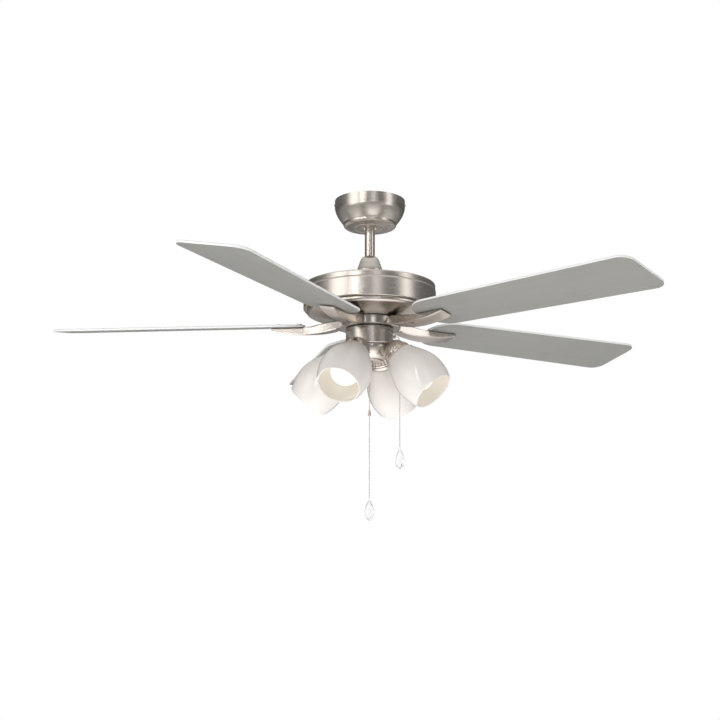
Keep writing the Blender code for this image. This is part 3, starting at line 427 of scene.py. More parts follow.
def lit_bulb(name, colour):
    mat, tree, shader, place = start_material(name)
    grain = use_group(tree, "Fine grain", place=place, size=0.001)
    dim = tuple(c * 0.2 for c in colour)
    tree.links.new(tint(tree, dim, grain.outputs["Cloud"], 0.02), shader.inputs["Base Color"])
    tree.links.new(spread(tree, grain.outputs["Grain"], 0.3, 0.7, 0.46, 0.54), shader.inputs["Roughness"])
    tree.links.new(tint(tree, colour, grain.outputs["Cloud"], 0.02), shader.inputs["Emission Color"])
    shader.inputs["Emission Strength"].default_value = 1.0
    return mat


def clear_crystal(name):
    mat, tree, shader, place = start_material(name)
    grain = use_group(tree, "Fine grain", place=place, size=0.004)
    tree.links.new(tint(tree, (0.93, 0.95, 0.95), grain.outputs["Cloud"], 0.02), shader.inputs["Base Color"])
    tree.links.new(spread(tree, grain.outputs["Grain"], 0.3, 0.7, 0.02, 0.05), shader.inputs["Roughness"])
    shader.inputs["Transmission Weight"].default_value = 1.0
    shader.inputs["IOR"].default_value = 1.49
    return mat


def moulded(name, colour, roughness, size=0.0006, own_place=True):
    mat, tree, shader, place = start_material(name, own_place)
    grain = use_group(tree, "Fine grain", place=place, size=size)
    tree.links.new(tint(tree, colour, grain.outputs["Cloud"], 0.12), shader.inputs["Base Color"])
    rough = spread(tree, grain.outputs["Grain"], 0.3, 0.7, roughness - 0.06, roughness + 0.06)
    tree.links.new(rough, shader.inputs["Roughness"])
    relief(tree, shader, grain.outputs["Grain"], 0.15, 0.0002)
    return mat


def build_materials():
    look = bpy.context.scene.fan_finish
    nickel, rough = tuple(look.nickel), look.nickel_roughness
    turned_brushing_group()
    straight_brushing_group()
    fine_grain_group()
    wood_grain_group()
    brushed_metal("turned_nickel", nickel, rough)
    brushed_metal("drawn_nickel", nickel, rough, turned=False)
    brushed_metal("bright_nickel", tuple(min(c * 1.12, 1.0) for c in nickel), rough - 0.08, turned=False)
    brushed_metal("plated_steel", (0.62, 0.62, 0.62), 0.36, turned=False, own_place=False, fineness=0.4)
    brushed_metal("ground_steel", (0.70, 0.70, 0.71), 0.22, turned=True, own_place=False)
    painted_board("painted_board", tuple(look.board), tuple(look.painted_edge_highlight))
    frosted_glass("frosted_glass", tuple(look.glass), tuple(look.glow))
    lit_bulb("lit_bulb", tuple(look.lamp))
    clear_crystal("clear_crystal")
    moulded("switch_plastic", (0.035, 0.035, 0.037), 0.45, own_place=False)
    moulded("socket_ceramic", (0.82, 0.81, 0.77), 0.25)
    moulded("ball_rubber", (0.03, 0.03, 0.03), 0.7)
    moulded("motor_iron", (0.09, 0.09, 0.10), 0.5, 0.0015, own_place=False)


# ---------------------------------------------------------------- modelling helpers
def rounded(points, steps=4):
    """Corner points (radius, height, fillet), with each fillet drawn as a short curve."""
    line = []
    for i, (r, z, fillet) in enumerate(points):
        corner = Vector((r, z))
        if fillet == 0 or i in (0, len(points) - 1):
            line.append((r, z))
            continue
        before = Vector(points[i - 1][:2]) - corner
        after = Vector(points[i + 1][:2]) - corner
        start = corner + before.normalized() * min(fillet, before.length * 0.48)
        stop = corner + after.normalized() * min(fillet, after.length * 0.48)
        for k in range(steps + 1):
            t = k / steps
            spot = start * (1 - t)**2 + corner * 2 * t * (1 - t) + stop * t**2
            line.append((spot.x, spot.y))
    return line


def lathe(profile, steps, sweep=2 * pi):
    """Spins (radius, height) points about Z. A line off the axis is closed into a ring."""
    bm = bmesh.new()
    verts = [bm.verts.new((r, 0.0, z)) for r, z in profile]
    edges = [bm.edges.new(pair) for pair in zip(verts, verts[1:])]
    if profile[0][0] > 0:
        edges.append(bm.edges.new((verts[-1], verts[0])))
    bmesh.ops.spin(bm, geom=verts + edges, cent=(0, 0, 0), axis=(0, 0, 1), angle=sweep, steps=steps,
                   use_merge=sweep == 2 * pi)
    return settle(bm)


def settle(bm):
    bmesh.ops.remove_doubles(bm, verts=bm.verts, dist=2e-6)
    bmesh.ops.recalc_face_normals(bm, faces=bm.faces)
    return bm


def block(size, place=None, bevel=0.0, segments=2):
    bm = bmesh.new()
    bmesh.ops.create_cube(bm, size=1.0)
    bmesh.ops.scale(bm, vec=size, verts=bm.verts)
    if bevel:
        bmesh.ops.bevel(bm, geom=bm.edges[:], offset=bevel, affect="EDGES", segments=segments, profile=0.5,
                        material=-1)
    if place is not None:
        bmesh.ops.transform(bm, matrix=place, verts=bm.verts)
    return bm


def add(bm, other, place=None):
    """Copies another bmesh's shape into this one, and frees it."""
    if place is not None:
        bmesh.ops.transform(other, matrix=place, verts=other.verts)
    mesh = bpy.data.meshes.new("part")
    other.to_mesh(mesh)
    other.free()
    bm.from_mesh(mesh)
    bpy.data.meshes.remove(mesh)
    return bm


def boolean(bm, cutter, operation="DIFFERENCE"):
    """This shape with another cut from it or joined to it."""
    objects = []
    for shape in (bm, cutter):
        mesh = bpy.data.meshes.new("part")
        shape.to_mesh(mesh)
        shape.free()
        objects.append(bpy.data.objects.new("part", mesh))
        bpy.context.scene.collection.objects.link(objects[-1])
    mod = objects[0].modifiers.new("cut", "BOOLEAN")
    mod.operation = operation
    mod.object = objects[1]
    bpy.context.view_layer.update()
    result = bmesh.new()
    result.from_object(objects[0], bpy.context.evaluated_depsgraph_get())
    for obj in objects:
        mesh = obj.data
        bpy.data.objects.remove(obj, do_unlink=True)
        bpy.data.meshes.remove(mesh)
    return result


def finished(bm, name, mats, body, replaces=(), place=None, sharp=38.0):
    """Makes the shape a piece: its own coordinates kept, placed in the frame, smooth, and riding on its body."""
    own_place = bm.verts.layers.float_vector.get("own_place") or bm.verts.layers.float_vector.new("own_place")
    turn = bm.loops.layers.uv.new("turn")
    for vert in bm.verts:
        vert[own_place] = vert.co
    for face in bm.faces:
        angles = [atan2(loop.vert.co.y, loop.vert.co.x) for loop in face.loops]
        wraps = max(angles) - min(angles) > pi
        for loop, angle in zip(face.loops, angles):
            spot = loop.vert.co
            angle += 2 * pi if wraps and angle < 0 else 0
            loop[turn].uv = (angle / (2 * pi), spot.z + hypot(spot.x, spot.y))
    if place is not None:
        bmesh.ops.transform(bm, matrix=place, verts=bm.verts)
    mesh = bpy.data.meshes.new(name)
    bm.to_mesh(mesh)
    bm.free()
    mesh.shade_smooth()
    mesh.set_sharp_from_angle(angle=radians(sharp))
    for mat in mats:
        mesh.materials.append(bpy.data.materials[mat])
    obj = bpy.data.objects.new(name, mesh)
    bpy.context.scene.collection.objects.link(obj)
    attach(obj, body)
    if replaces:
        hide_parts(*replaces)
    return obj


def spun(bm, name, replaced, body="fan_frame", place=None, sharp=32.0, finish="turned_nickel"):
    """A finished piece of nickel that stands for one node of the frame."""
    return finished(bm, name, [finish], body, (replaced,), place, sharp)


def at(x=0.0, y=0.0, z=0.0):
    return Matrix.Translation((x, y, z))


def spin_z(degrees):
    return Matrix.Rotation(radians(degrees), 4, "Z")


def along_x(x=0.0, y=0.0, z=0.0):
    return at(x, y, z) @ Matrix.Rotation(pi / 2, 4, "Y")


def drill(radius, reach, place):
    """A round cutter that reaches this far either way from its place."""
    cutter = lathe([(0, reach), (radius, reach), (radius, -reach), (0, -reach)], 24)
    bmesh.ops.transform(cutter, matrix=place, verts=cutter.verts)
    return cutter


def pan_head(radius, height, driver=0.55):
    """A domed screw head standing on Z = 0, with a cross recess."""
    dome = lathe([(0, height), (radius * 0.45, height * 0.96), (radius * 0.8, height * 0.72), (radius, height * 0.3),
                  (radius, 0), (0, 0)], 20)
    for turn in (0, 90):
        arm = block((radius * driver * 2, radius * 0.24, height), spin_z(turn) @ at(0, 0, height * 1.05))
        dome = boolean(dome, arm)
    return dome


# ---------------------------------------------------------------- stage
class FAN_OT_stage(bpy.types.Operator):
    """Camera, soft studio light and a plain pale floor"""
    bl_idname = "fan.stage"
    bl_label = "Stage"

    def execute(self, context):
        stage = context.scene.fan_stage
        self.camera(context, stage)
        self.lights(context)
        self.world(context)
        bm = bmesh.new()
        bmesh.ops.create_grid(bm, x_segments=4, y_segments=4, size=5.0)
        bmesh.ops.translate(bm, verts=bm.verts, vec=(0, 0, -stage.floor_depth))
        mesh = bpy.data.meshes.new("floor")
        bm.to_mesh(mesh)
        bm.free()
        floor = bpy.data.objects.new("floor", mesh)
        mat = bpy.data.materials.new("pale_floor")
        mat.use_nodes = True
        mat.node_tree.nodes["Principled BSDF"].inputs["Base Color"].default_value = (0.82, 0.82, 0.82, 1.0)
        mat.node_tree.nodes["Principled BSDF"].inputs["Roughness"].default_value = 0.9
        mesh.materials.append(mat)
        context.scene.collection.objects.link(floor)
        return {"FINISHED"}

    def camera(self, context, stage):
        data = bpy.data.cameras.new("camera")
        data.sensor_width = 36.0
        data.lens = stage.lens
        camera = bpy.data.objects.new("camera", data)
        context.scene.collection.objects.link(camera)
        yaw, pitch, roll = stage.camera_yaw, stage.camera_pitch, stage.camera_roll
        forward = Vector((sin(yaw) * cos(pitch), cos(yaw) * cos(pitch), sin(pitch)))
        level = Vector((cos(yaw), -sin(yaw), 0.0))
        upright = level.cross(forward)
        right = cos(roll) * level + sin(roll) * upright
        up = cos(roll) * upright - sin(roll) * level
        turned = Matrix((right, up, -forward)).transposed().to_4x4()
        camera.matrix_world = at(0, -stage.camera_distance, BLADE_Z - stage.camera_drop) @ turned
        context.scene.camera = camera

    def lights(self, context):
        """Softboxes stand round the fan: (name, azimuth from the front, height, distance, width, length, power)."""
        boxes = [("key", -54, 0.15, 2.6, 1.4, 2.2, 19.0), ("strip", -24, 0.15, 2.6, 0.20, 2.2, 13.0),
                 ("front", 12, 0.15, 3.2, 0.5, 2.2, 6.5), ("fill", 64, 0.15, 2.6, 0.8, 2.2, 11.0)]
        for name, azimuth, height, distance, width, long, power in boxes:
            place = Vector((sin(radians(azimuth)), -cos(radians(azimuth)), 0.0)) * distance + Vector((0, 0, height))
            turn = (Vector((0, 0, -0.25)) - place).to_track_quat("-Z", "Y").to_matrix().to_4x4()
            self.lamp(context, name, (width, long), power, Matrix.Translation(place) @ turn)
        self.lamp(context, "floor_wash", (3.0, 3.0), 75.0, at(0, -0.6, -1.3))

    def lamp(self, context, name, size, power, place):
        """A panel of light that the camera doesn't see."""
        data = bpy.data.lights.new(name, "AREA")
        data.shape = "RECTANGLE"
        data.size, data.size_y = size
        data.energy = power
        lamp = bpy.data.objects.new(name, data)
        lamp.visible_camera = False
        context.scene.collection.objects.link(lamp)
        lamp.matrix_world = place

    def world(self, context):
        """White behind the fan, and a softer grey room that lights it and shows in the metal."""
        world = bpy.data.worlds.new("studio")
        context.scene.world = world
        context.scene.view_settings.view_transform = "Standard"
        world.use_nodes = True
        tree = world.node_tree
        tree.nodes.clear()
        direction = node(tree, "TexCoord").outputs["Generated"]
        rise = node(tree, "SeparateXYZ", {0: direction}).outputs[2]
        ramp = node(tree, "ValToRGB", {"Fac": spread(tree, rise, -1.0, 1.0, 0.0, 1.0)})
        stops = ramp.color_ramp
        stops.elements[0].color = (0.60, 0.60, 0.60, 1.0)
        stops.elements[1].color = (1.30, 1.30, 1.30, 1.0)
        for spot, shade in ((0.36, 0.36), (0.50, 0.11), (0.66, 0.15), (0.84, 0.70)):
            stops.elements.new(spot).color = (shade, shade, shade, 1.0)
        room = node(tree, "Background", {"Color": ramp.outputs["Color"], "Strength": 1.0})
        white = node(tree, "Background", {"Color": (1.0, 1.0, 1.0, 1.0), "Strength": 1.0})
        path = node(tree, "LightPath")
        seen = math(tree, "MAXIMUM", path.outputs["Is Camera Ray"], path.outputs["Is Transmission Ray"])
        mix = node(tree, "MixShader", {0: seen, 1: room.outputs[0], 2: white.outputs[0]})
        out = node(tree, "OutputWorld", {"Surface": mix.outputs[0]})
        out.is_active_output = True


# ---------------------------------------------------------------- chains
def smooth_route(route, azimuth, parts=12):
    """The smooth curve through a route's own points."""
    knots = [Vector((r * cos(radians(azimuth)), r * sin(radians(azimuth)), z)) for r, z in route]
    fine = []
    for i in range(len(knots) - 1):
        before, after = knots[max(i - 1, 0)], knots[min(i + 2, len(knots) - 1)]
        start, stop = knots[i], knots[i + 1]
        for part in range(parts):
            t = part / parts
            fine.append(start * (2 * t**3 - 3 * t**2 + 1) + stop * (3 * t**2 - 2 * t**3)
                        + (stop - before) / 2 * (t**3 - 2 * t**2 + t) + (after - start) / 2 * (t**3 - t**2))
    return fine + [knots[-1]]


def length_of(line):
    return sum((b - a).length for a, b in zip(line, line[1:]))


def spots_along(line, count):
    """Evenly spaced points on the line, both ends included, with the direction at each."""
    total = length_of(line)
    spots, run, i = [], 0.0, 0
    for k in range(count):
        want = total * k / (count - 1)
        while i < len(line) - 2 and run + (line[i + 1] - line[i]).length < want:
            run += (line[i + 1] - line[i]).length
            i += 1
        step = line[i + 1] - line[i]
        spots.append((line[i] + step.normalized() * min(want - run, step.length), step.normalized()))
    return spots


def bead_chain(name, route, azimuth, body, replaced, pitch):
    """Hollow steel beads on a fine wire, along the route."""
    line = smooth_route(route, azimuth)
    count = round((length_of(line) - CHAIN_D) / pitch) + 1
    bead_radius = CHAIN_D / 2
    bm = bmesh.new()
    ends = spots_along(line, 400)
    first = next(i for i, (spot, _) in enumerate(ends) if (spot - line[0]).length >= bead_radius)
    body_line = [spot for spot, _ in ends[first:len(ends) - first]]
    for spot, aim in spots_along(body_line, count):
        turn = aim.to_track_quat("Z", "Y").to_matrix().to_4x4()
        bead = bmesh.new()
        bmesh.ops.create_icosphere(bead, subdivisions=2, radius=bead_radius)
        add(bm, bead, Matrix.Translation(spot) @ turn)
        link = bmesh.new()
        wire = bead_radius * 0.34
        bmesh.ops.create_cone(link, cap_ends=True, segments=6, radius1=wire, radius2=wire, depth=pitch)
        add(bm, link, Matrix.Translation(spot) @ turn)
    chain = finished(bm, name, ["bright_nickel"], body, (replaced,), sharp=80)
    [tuple(spot) for spot, _ in spots_along(line, 240)]
    return chain


def fob(name, node_name, body):
    """A clear drop that hangs at the chain's end."""
    steps = 40
    side = []
    for i in range(steps + 1):
        share = i / steps
        swell = sin(pi * share**1.5)**0.62 if 0 < share < 1 else 0.0
        side.append((max(FOB_R * swell, FOB_TOP_R * (1 - share)), -FOB_L * share))
    profile = [(0, 0), (FOB_TOP_R * 0.8, 0), (FOB_TOP_R, -0.0004), *side[1:-1], (0, -FOB_L)]
    top = Vector((middle_of(node_name)[0], middle_of(node_name)[1], high_of(node_name)[2]))
    return finished(lathe(profile, 48), name, ["clear_crystal"], body, (node_name,),
                    Matrix.Translation(top), sharp=60)


class FAN_OT_pull_chains(bpy.types.Operator):
    """The two bead chains with their drops, the connector and the ferrule and bushing they leave by"""
    bl_idname = "fan.pull_chains"
    bl_label = "Pull chains"

    def execute(self, context):
        detail = context.scene.fan_detail
        fan_drop = fob("fan_drop", "fan_fob", "fan_pull")
        light_drop = fob("light_drop", "light_fob", "light_pull")
        half = (high_of("chain_connector")[2] - low_of("chain_connector")[2]) / 2
        radius = radius_of("chain_connector")
        hole = CHAIN_D / 2 + 0.0004
        bell = rounded([(hole, half, 0), (0.0022, half, 0.0005), (0.0024, half * 0.5, 0.001),
                        (radius, -half * 0.3, 0.002), (radius, -half * 0.62, 0.001), (0.0024, -half, 0.0005),
                        (hole, -half, 0)])
        place = Matrix.Translation(middle_of("chain_connector"))
        connector = spun(lathe(bell, 32), "bell_connector", "chain_connector", "light_pull", place, 38,
                         "bright_nickel")
        bead_chain("fan_bead_chain", FAN_CHAIN_ROUTE, FERRULE_AZ, "fan_pull", "fan_chain", detail.bead_pitch)
        bead_chain("light_bead_chain", LIGHT_CHAIN_ROUTE, 0, "light_pull", "light_chain", detail.bead_pitch)
        self.ferrule()
        self.bushing()
        return {"FINISHED"}

    def ferrule(self):
        mouth = CUP_R + 0.0062
        stem, flare, hole = 0.0032, 0.0044, 0.0017
        profile = rounded([(hole, -0.0081, 0), (stem, -0.0081, 0.0003), (stem, -0.0030, 0.0003),
                           (flare, -0.0020, 0.0006), (flare, -0.0006, 0.0006), (0.0034, 0, 0.0004),
                           (hole, 0, 0.0003), (hole, -0.002, 0)])
        place = spin_z(FERRULE_AZ) @ along_x(mouth, 0, FAN_CHAIN_ROUTE[0][1])
        spun(lathe(profile, 32), "side_ferrule", "chain_ferrule", place=place, sharp=38, finish="bright_nickel")

    def bushing(self):
        low = high_of("chain_bushing")[2] - 0.006
        hole, neck, flange = 0.0017, 0.0036, 0.0072
        profile = rounded([(hole, low + 0.006, 0), (neck, low + 0.006, 0.0003), (neck, low, 0), (flange, low, 0.0004),
                           (flange, low - 0.001, 0.0005), (0.0048, low - 0.0034, 0.0012),
                           (hole, low - 0.0034, 0.0003), (hole, low, 0)])
        spun(lathe(profile, 32), "bottom_bushing", "chain_bushing", sharp=38, finish="bright_nickel")


# ---------------------------------------------------------------- ceiling end
class FAN_OT_canopy(bpy.types.Operator):
    """The spun canopy with its screws, and the ball inside it"""
    bl_idname = "fan.canopy"
    bl_label = "Canopy"

    def execute(self, context):
        self.canopy()
        self.screws()
        self.ball()
        return {"FINISHED"}

    def canopy(self):
        top, low = CANOPY_TOP, BOSS_BOTTOM + BOSS_H
        bend, foot = -CANOPY_WALL_H, BOSS_BOTTOM + BOSS_H + CANOPY_FOOT_H
        hole = ROD_R + 0.0029
        reach, drop = CANOPY_R - CANOPY_FOOT_R - SHEET, bend - foot
        steps = 16
        side = [(CANOPY_R - reach * (i / steps)**CANOPY_CURVE, bend - drop * i / steps, 0) for i in range(steps + 1)]
        outer = [(CANOPY_R, top, 0), *side, (CANOPY_FOOT_R, foot - 0.0012, 0.0008),
                 (CANOPY_FOOT_R - 0.0008, low + 0.0040, 0.002), (CANOPY_FOOT_R - 0.0052, low + 0.0002, 0.0035),
                 (BOSS_R + 0.0012, low, 0.0008), (BOSS_R + 0.0002, BOSS_BOTTOM + 0.0006, 0.0010),
                 (BOSS_R - 0.0020, BOSS_BOTTOM, 0.0010), (BOSS_R - 0.0045, BOSS_BOTTOM + 0.0008, 0.001),
                 (hole + 0.0012, BOSS_BOTTOM + 0.0004, 0.0008), (hole, BOSS_BOTTOM + 0.0004, 0.0004)]
        inner = [(hole, BOSS_BOTTOM + SHEET + 0.0004, 0), (BOSS_R - SHEET, BOSS_BOTTOM + SHEET + 0.0006, 0),
                 (BOSS_R - SHEET, low + SHEET, 0), (CANOPY_FOOT_R - 0.0060, low + SHEET + 0.0008, 0.002),
                 (CANOPY_FOOT_R - 0.0022, low + 0.0060, 0.002)]
        inner += [(r - SHEET, z + SHEET / 2, 0) for r, z, _ in reversed(side[4:-2:3])]
        inner += [(CANOPY_R - SHEET, bend, 0), (CANOPY_R - SHEET, top, 0)]
        shell = lathe(rounded(outer + inner), 128)
        spun(shell, "spun_canopy", "canopy", "ceiling_mount")

    def screws(self):
        for number, turn in ((1, 0), (2, 180)):
            node_name = f"canopy_screw_{number}"
            z = middle_of(node_name)[2]
            head = pan_head(0.0034, 0.0010)
            shank = lathe([(0, -0.0002), (0.0017, -0.0002), (0.0017, -0.0085), (0, -0.0085)], 16)
            finished(add(head, shank), f"canopy_thumb_screw_{number}", ["bright_nickel"], "ceiling_mount",
                     (node_name,), spin_z(turn) @ along_x(CANOPY_R + GAP, 0, z))

    def ball(self):
        radius = radius_of("hanger_ball")
        centre, bore, cut = middle_of("hanger_ball"), ROD_R + GAP, 56.0
        steps = 24
        turns = [radians(cut - 2 * cut * i / steps) for i in range(steps + 1)]
        outside = [(radius * cos(turn), radius * sin(turn)) for turn in turns]
        flat = radius * sin(radians(cut))
        shape = lathe(outside + [(bore, -flat), (bore, flat)], 64)
        shape = boolean(shape, drill(PIN_HOLE_R, 0.04, along_x()))
        finished(shape, "rubber_ball", ["ball_rubber"], "fan_frame", ("hanger_ball",),
                 Matrix.Translation(centre))


class FAN_OT_downrod(bpy.types.Operator):
    """The downrod and the bell cover over its coupling"""
    bl_idname = "fan.downrod"
    bl_label = "Downrod"

    def execute(self, context):
        top, low = high_of("downrod")[2], low_of("downrod")[2]
        wall, edge = 0.0022, 0.0004
        tube = lathe(rounded([(ROD_R - wall, top, 0), (ROD_R - edge, top, edge), (ROD_R, top - edge, 0),
                              (ROD_R, low + edge, 0), (ROD_R - edge, low, 0), (ROD_R - wall, low, 0)]), 64)
        for height in (-0.030, middle_of("coupling_pin")[2]):
            tube = boolean(tube, drill(PIN_HOLE_R, 0.03, along_x(0, 0, height)))
        spun(tube, "nickel_downrod", "downrod", sharp=38)
        neck = ROD_R + GAP
        reach, height = COVER_R - neck, COVER_TOP - COVER_BOTTOM
        curve = [(0.10, 0.0), (0.27, 0.04), (0.41, 0.11), (0.52, 0.20), (0.83, 0.51), (1.0, 1.0)]
        outer = [(neck + reach * a, COVER_TOP - height * b, 0.003 if b < 1 else 0) for a, b in curve]
        lip = [(neck, COVER_TOP, 0), (neck + 0.0008, COVER_TOP, 0.0003)]
        inner = [(r - SHEET, z - SHEET * 0.6, 0.002) for r, z, _ in reversed(outer[2:-1])]
        inner = [(COVER_R - SHEET, COVER_BOTTOM, 0), *inner, (neck, COVER_TOP - SHEET, 0)]
        bell = lathe(rounded(lip + outer[1:] + inner), 96)
        spun(bell, "bell_cover", "coupling_cover", sharp=50)
        return {"FINISHED"}


# ---------------------------------------------------------------- motor housing
class FAN_OT_housing(bpy.types.Operator):
    """The motor's drum with its shoulder band, and the cover with its rolled lip and cone"""
    bl_idname = "fan.housing"
    bl_label = "Motor housing"

    def execute(self, context):
        hole = 0.0100
        rise = DOME_H / (DRUM_R - 0.0075)
        rim = DOME_TOP - DOME_H + 0.00015
        band = rim - BAND_H
        groove = 0.0006

        def dome(r):
            return DOME_TOP - rise * (r - hole)

        outer = [(hole, dome(hole), 0), (DRUM_R - 0.0200, dome(DRUM_R - 0.0200), 0.004),
                 (DRUM_R - 0.0065, dome(DRUM_R - 0.0065), 0.003), (DRUM_R - BAND_INSET, rim - 0.0012, 0.0022),
                 (DRUM_R - BAND_INSET, band + 0.0026, 0.0006),
                 (DRUM_R - BAND_INSET - groove, band + 0.0016, 0.0004),
                 (DRUM_R - BAND_INSET, band + 0.0006, 0.0004), (DRUM_R, band - 0.0006, 0.0008),
                 (DRUM_R, DRUM_BOTTOM + 0.0010, 0.0008), (DRUM_R - 0.0010, DRUM_BOTTOM, 0.0006),
                 (LIP_R - 0.006, DRUM_BOTTOM, 0)]
        wall = DRUM_R - SHEET - BAND_INSET - groove
        inner = [(LIP_R - 0.006, DRUM_BOTTOM + SHEET, 0), (wall, DRUM_BOTTOM + SHEET, 0.001),
                 (wall, rim - 0.0050, 0.002), (DRUM_R - 0.0090, dome(DRUM_R) - SHEET, 0.002),
                 (hole, dome(hole) - SHEET, 0)]
        drum = lathe(rounded(outer + inner, 5), 160)
        spun(drum, "spun_housing", "motor_housing")
        top, lip_low = LIP_TOP, CONE_BOTTOM + CONE_H
        mouth = 0.0670
        outer = [(LIP_R - 0.012, top, 0), (LIP_R - 0.0004, top, 0.0004), (LIP_R, top - 0.0014, 0.001),
                 (LIP_R, lip_low + 0.0030, 0.004), (LIP_R - 0.0040, lip_low, 0.004),
                 (LIP_R - 0.0110, lip_low - 0.0006, 0.003), (mouth + 0.0016, CONE_BOTTOM + 0.0003, 0.0010),
                 (mouth, CONE_BOTTOM, 0.0006)]
        inner = [(mouth - SHEET, CONE_BOTTOM + SHEET * 0.8, 0), (LIP_R - 0.0075, lip_low + SHEET, 0.003),
                 (LIP_R - SHEET, lip_low + 0.005, 0.002), (LIP_R - SHEET, top - SHEET, 0),
                 (LIP_R - 0.012, top - SHEET, 0)]
        cover = lathe(rounded(outer + inner, 6), 160)
        spun(cover, "spun_lower_cover", "motor_lower_cover")
        return {"FINISHED"}


# ---------------------------------------------------------------- arms and blades
def smoothstep(value):
    value = min(max(value, 0.0), 1.0)
    return value * value * (3 - 2 * value)


def arm_levels(x):
    """Top and bottom of an arm at distance x from the axis, and how far it has turned to the blade's pitch."""
    turn = smoothstep((x - HUB_R) / (ARM_PAD_R - HUB_R))
    under_blade = -BLADE_T / 2 - GAP
    hub_top = HUB_TOP - BLADE_Z - 0.0006
    top = hub_top + (under_blade - hub_top) * turn
    rise = (ARM_SAG - BLADE_T / 2 - ARM_END_T) / (ARM_END_R - ARM_LOW_R)**2
    low = -ARM_SAG + rise * (x - ARM_LOW_R)**2
    if x <= HUB_R:
        low = max(low, HUB_TOP - HUB_H - BLADE_Z + 0.0006)
    return top, low, turn


def arm_shape(chamfer):
    start, steps = HUB_R - 0.012, 44
    bm = bmesh.new()
    bmesh.ops.create_cube(bm, size=1.0)
    bmesh.ops.scale(bm, vec=(ARM_END_R - start, 1, 1), verts=bm.verts)
    bmesh.ops.translate(bm, vec=((ARM_END_R + start) / 2, 0, 0), verts=bm.verts)
    long_edges = [e for e in bm.edges if abs(e.verts[0].co.x - e.verts[1].co.x) > 0.01]
    bmesh.ops.subdivide_edges(bm, edges=long_edges, cuts=steps, use_grid_fill=True)
    for vert in bm.verts:
        top, low, _ = arm_levels(vert.co.x)
        vert.co.z = top if vert.co.z > 0 else low
        vert.co.y = ARM_W / 2 * (1 if vert.co.y > 0 else -1)
    rim = []
    for edge in bm.edges:
        a, b = (v.co for v in edge.verts)
        along = abs(a.x - b.x) > 1e-5
        end = min(a.x, b.x) > ARM_END_R - 1e-5
        if (along and len(edge.link_faces) == 2 and edge.calc_face_angle(0) > radians(60)) or end:
            rim.append(edge)
    bmesh.ops.bevel(bm, geom=rim, offset=chamfer, offset_type="OFFSET", affect="EDGES", segments=1, profile=0.5,
                    material=-1)
    for vert in bm.verts:
        _, _, turn = arm_levels(vert.co.x)
        leaned = Matrix.Rotation(radians(BLADE_PITCH) * turn, 3, "X") @ Vector((0, vert.co.y, vert.co.z))
        vert.co.y, vert.co.z = leaned.y, leaned.z
    return settle(bm)


def hub_block():
    """One fifth of the ring that the arms make round the shaft."""
    half = 180 / BLADES
    edge, soft = GAP / 2, 0.0008
    low = HUB_TOP - HUB_H - BLADE_Z
    top = HUB_TOP - BLADE_Z
    bm = bmesh.new()
    corners = rounded([(HUB_BORE_R, low, 0), (HUB_R, low, soft), (HUB_R, top, soft), (HUB_BORE_R, top, 0)], 3)
    verts = [bm.verts.new((r, 0.0, z)) for r, z in corners]
    face = bm.faces.new(verts)
    start = radians(half) - edge / HUB_R
    bmesh.ops.rotate(bm, verts=bm.verts, cent=(0, 0, 0), matrix=Matrix.Rotation(-start, 3, "Z"))
    bmesh.ops.spin(bm, geom=[face, *face.edges, *face.verts], cent=(0, 0, 0), axis=(0, 0, 1), angle=2 * start,
                   steps=24)
    return settle(bm)


def blade_outline(tip_steps=16, root_steps=12):
    slope = (BLADE_TIP_W - BLADE_ROOT_W) / 2 / (BLADE_TIP_R - BLADE_ROOT_R)
    lean = atan2(slope, 1)
    side = []
    for x, half, radius, inwards, steps in ((BLADE_TIP_R - SKIN, BLADE_TIP_W / 2, TIP_CORNER_R, -1, tip_steps),
                                            (BLADE_ROOT_R, BLADE_ROOT_W / 2, ROOT_CORNER_R, 1, root_steps)):
        centre = (x + inwards * radius, half + inwards * radius * slope - radius / cos(lean))
        start, stop = [(0, pi / 2 + lean), (pi / 2 + lean, pi)][inwards > 0]
        for i in range(steps + 1):
            a = start + (stop - start) * i / steps
            side.append((centre[0] + radius * cos(a), centre[1] + radius * sin(a)))
    return side + [(x, -y) for x, y in reversed(side)]


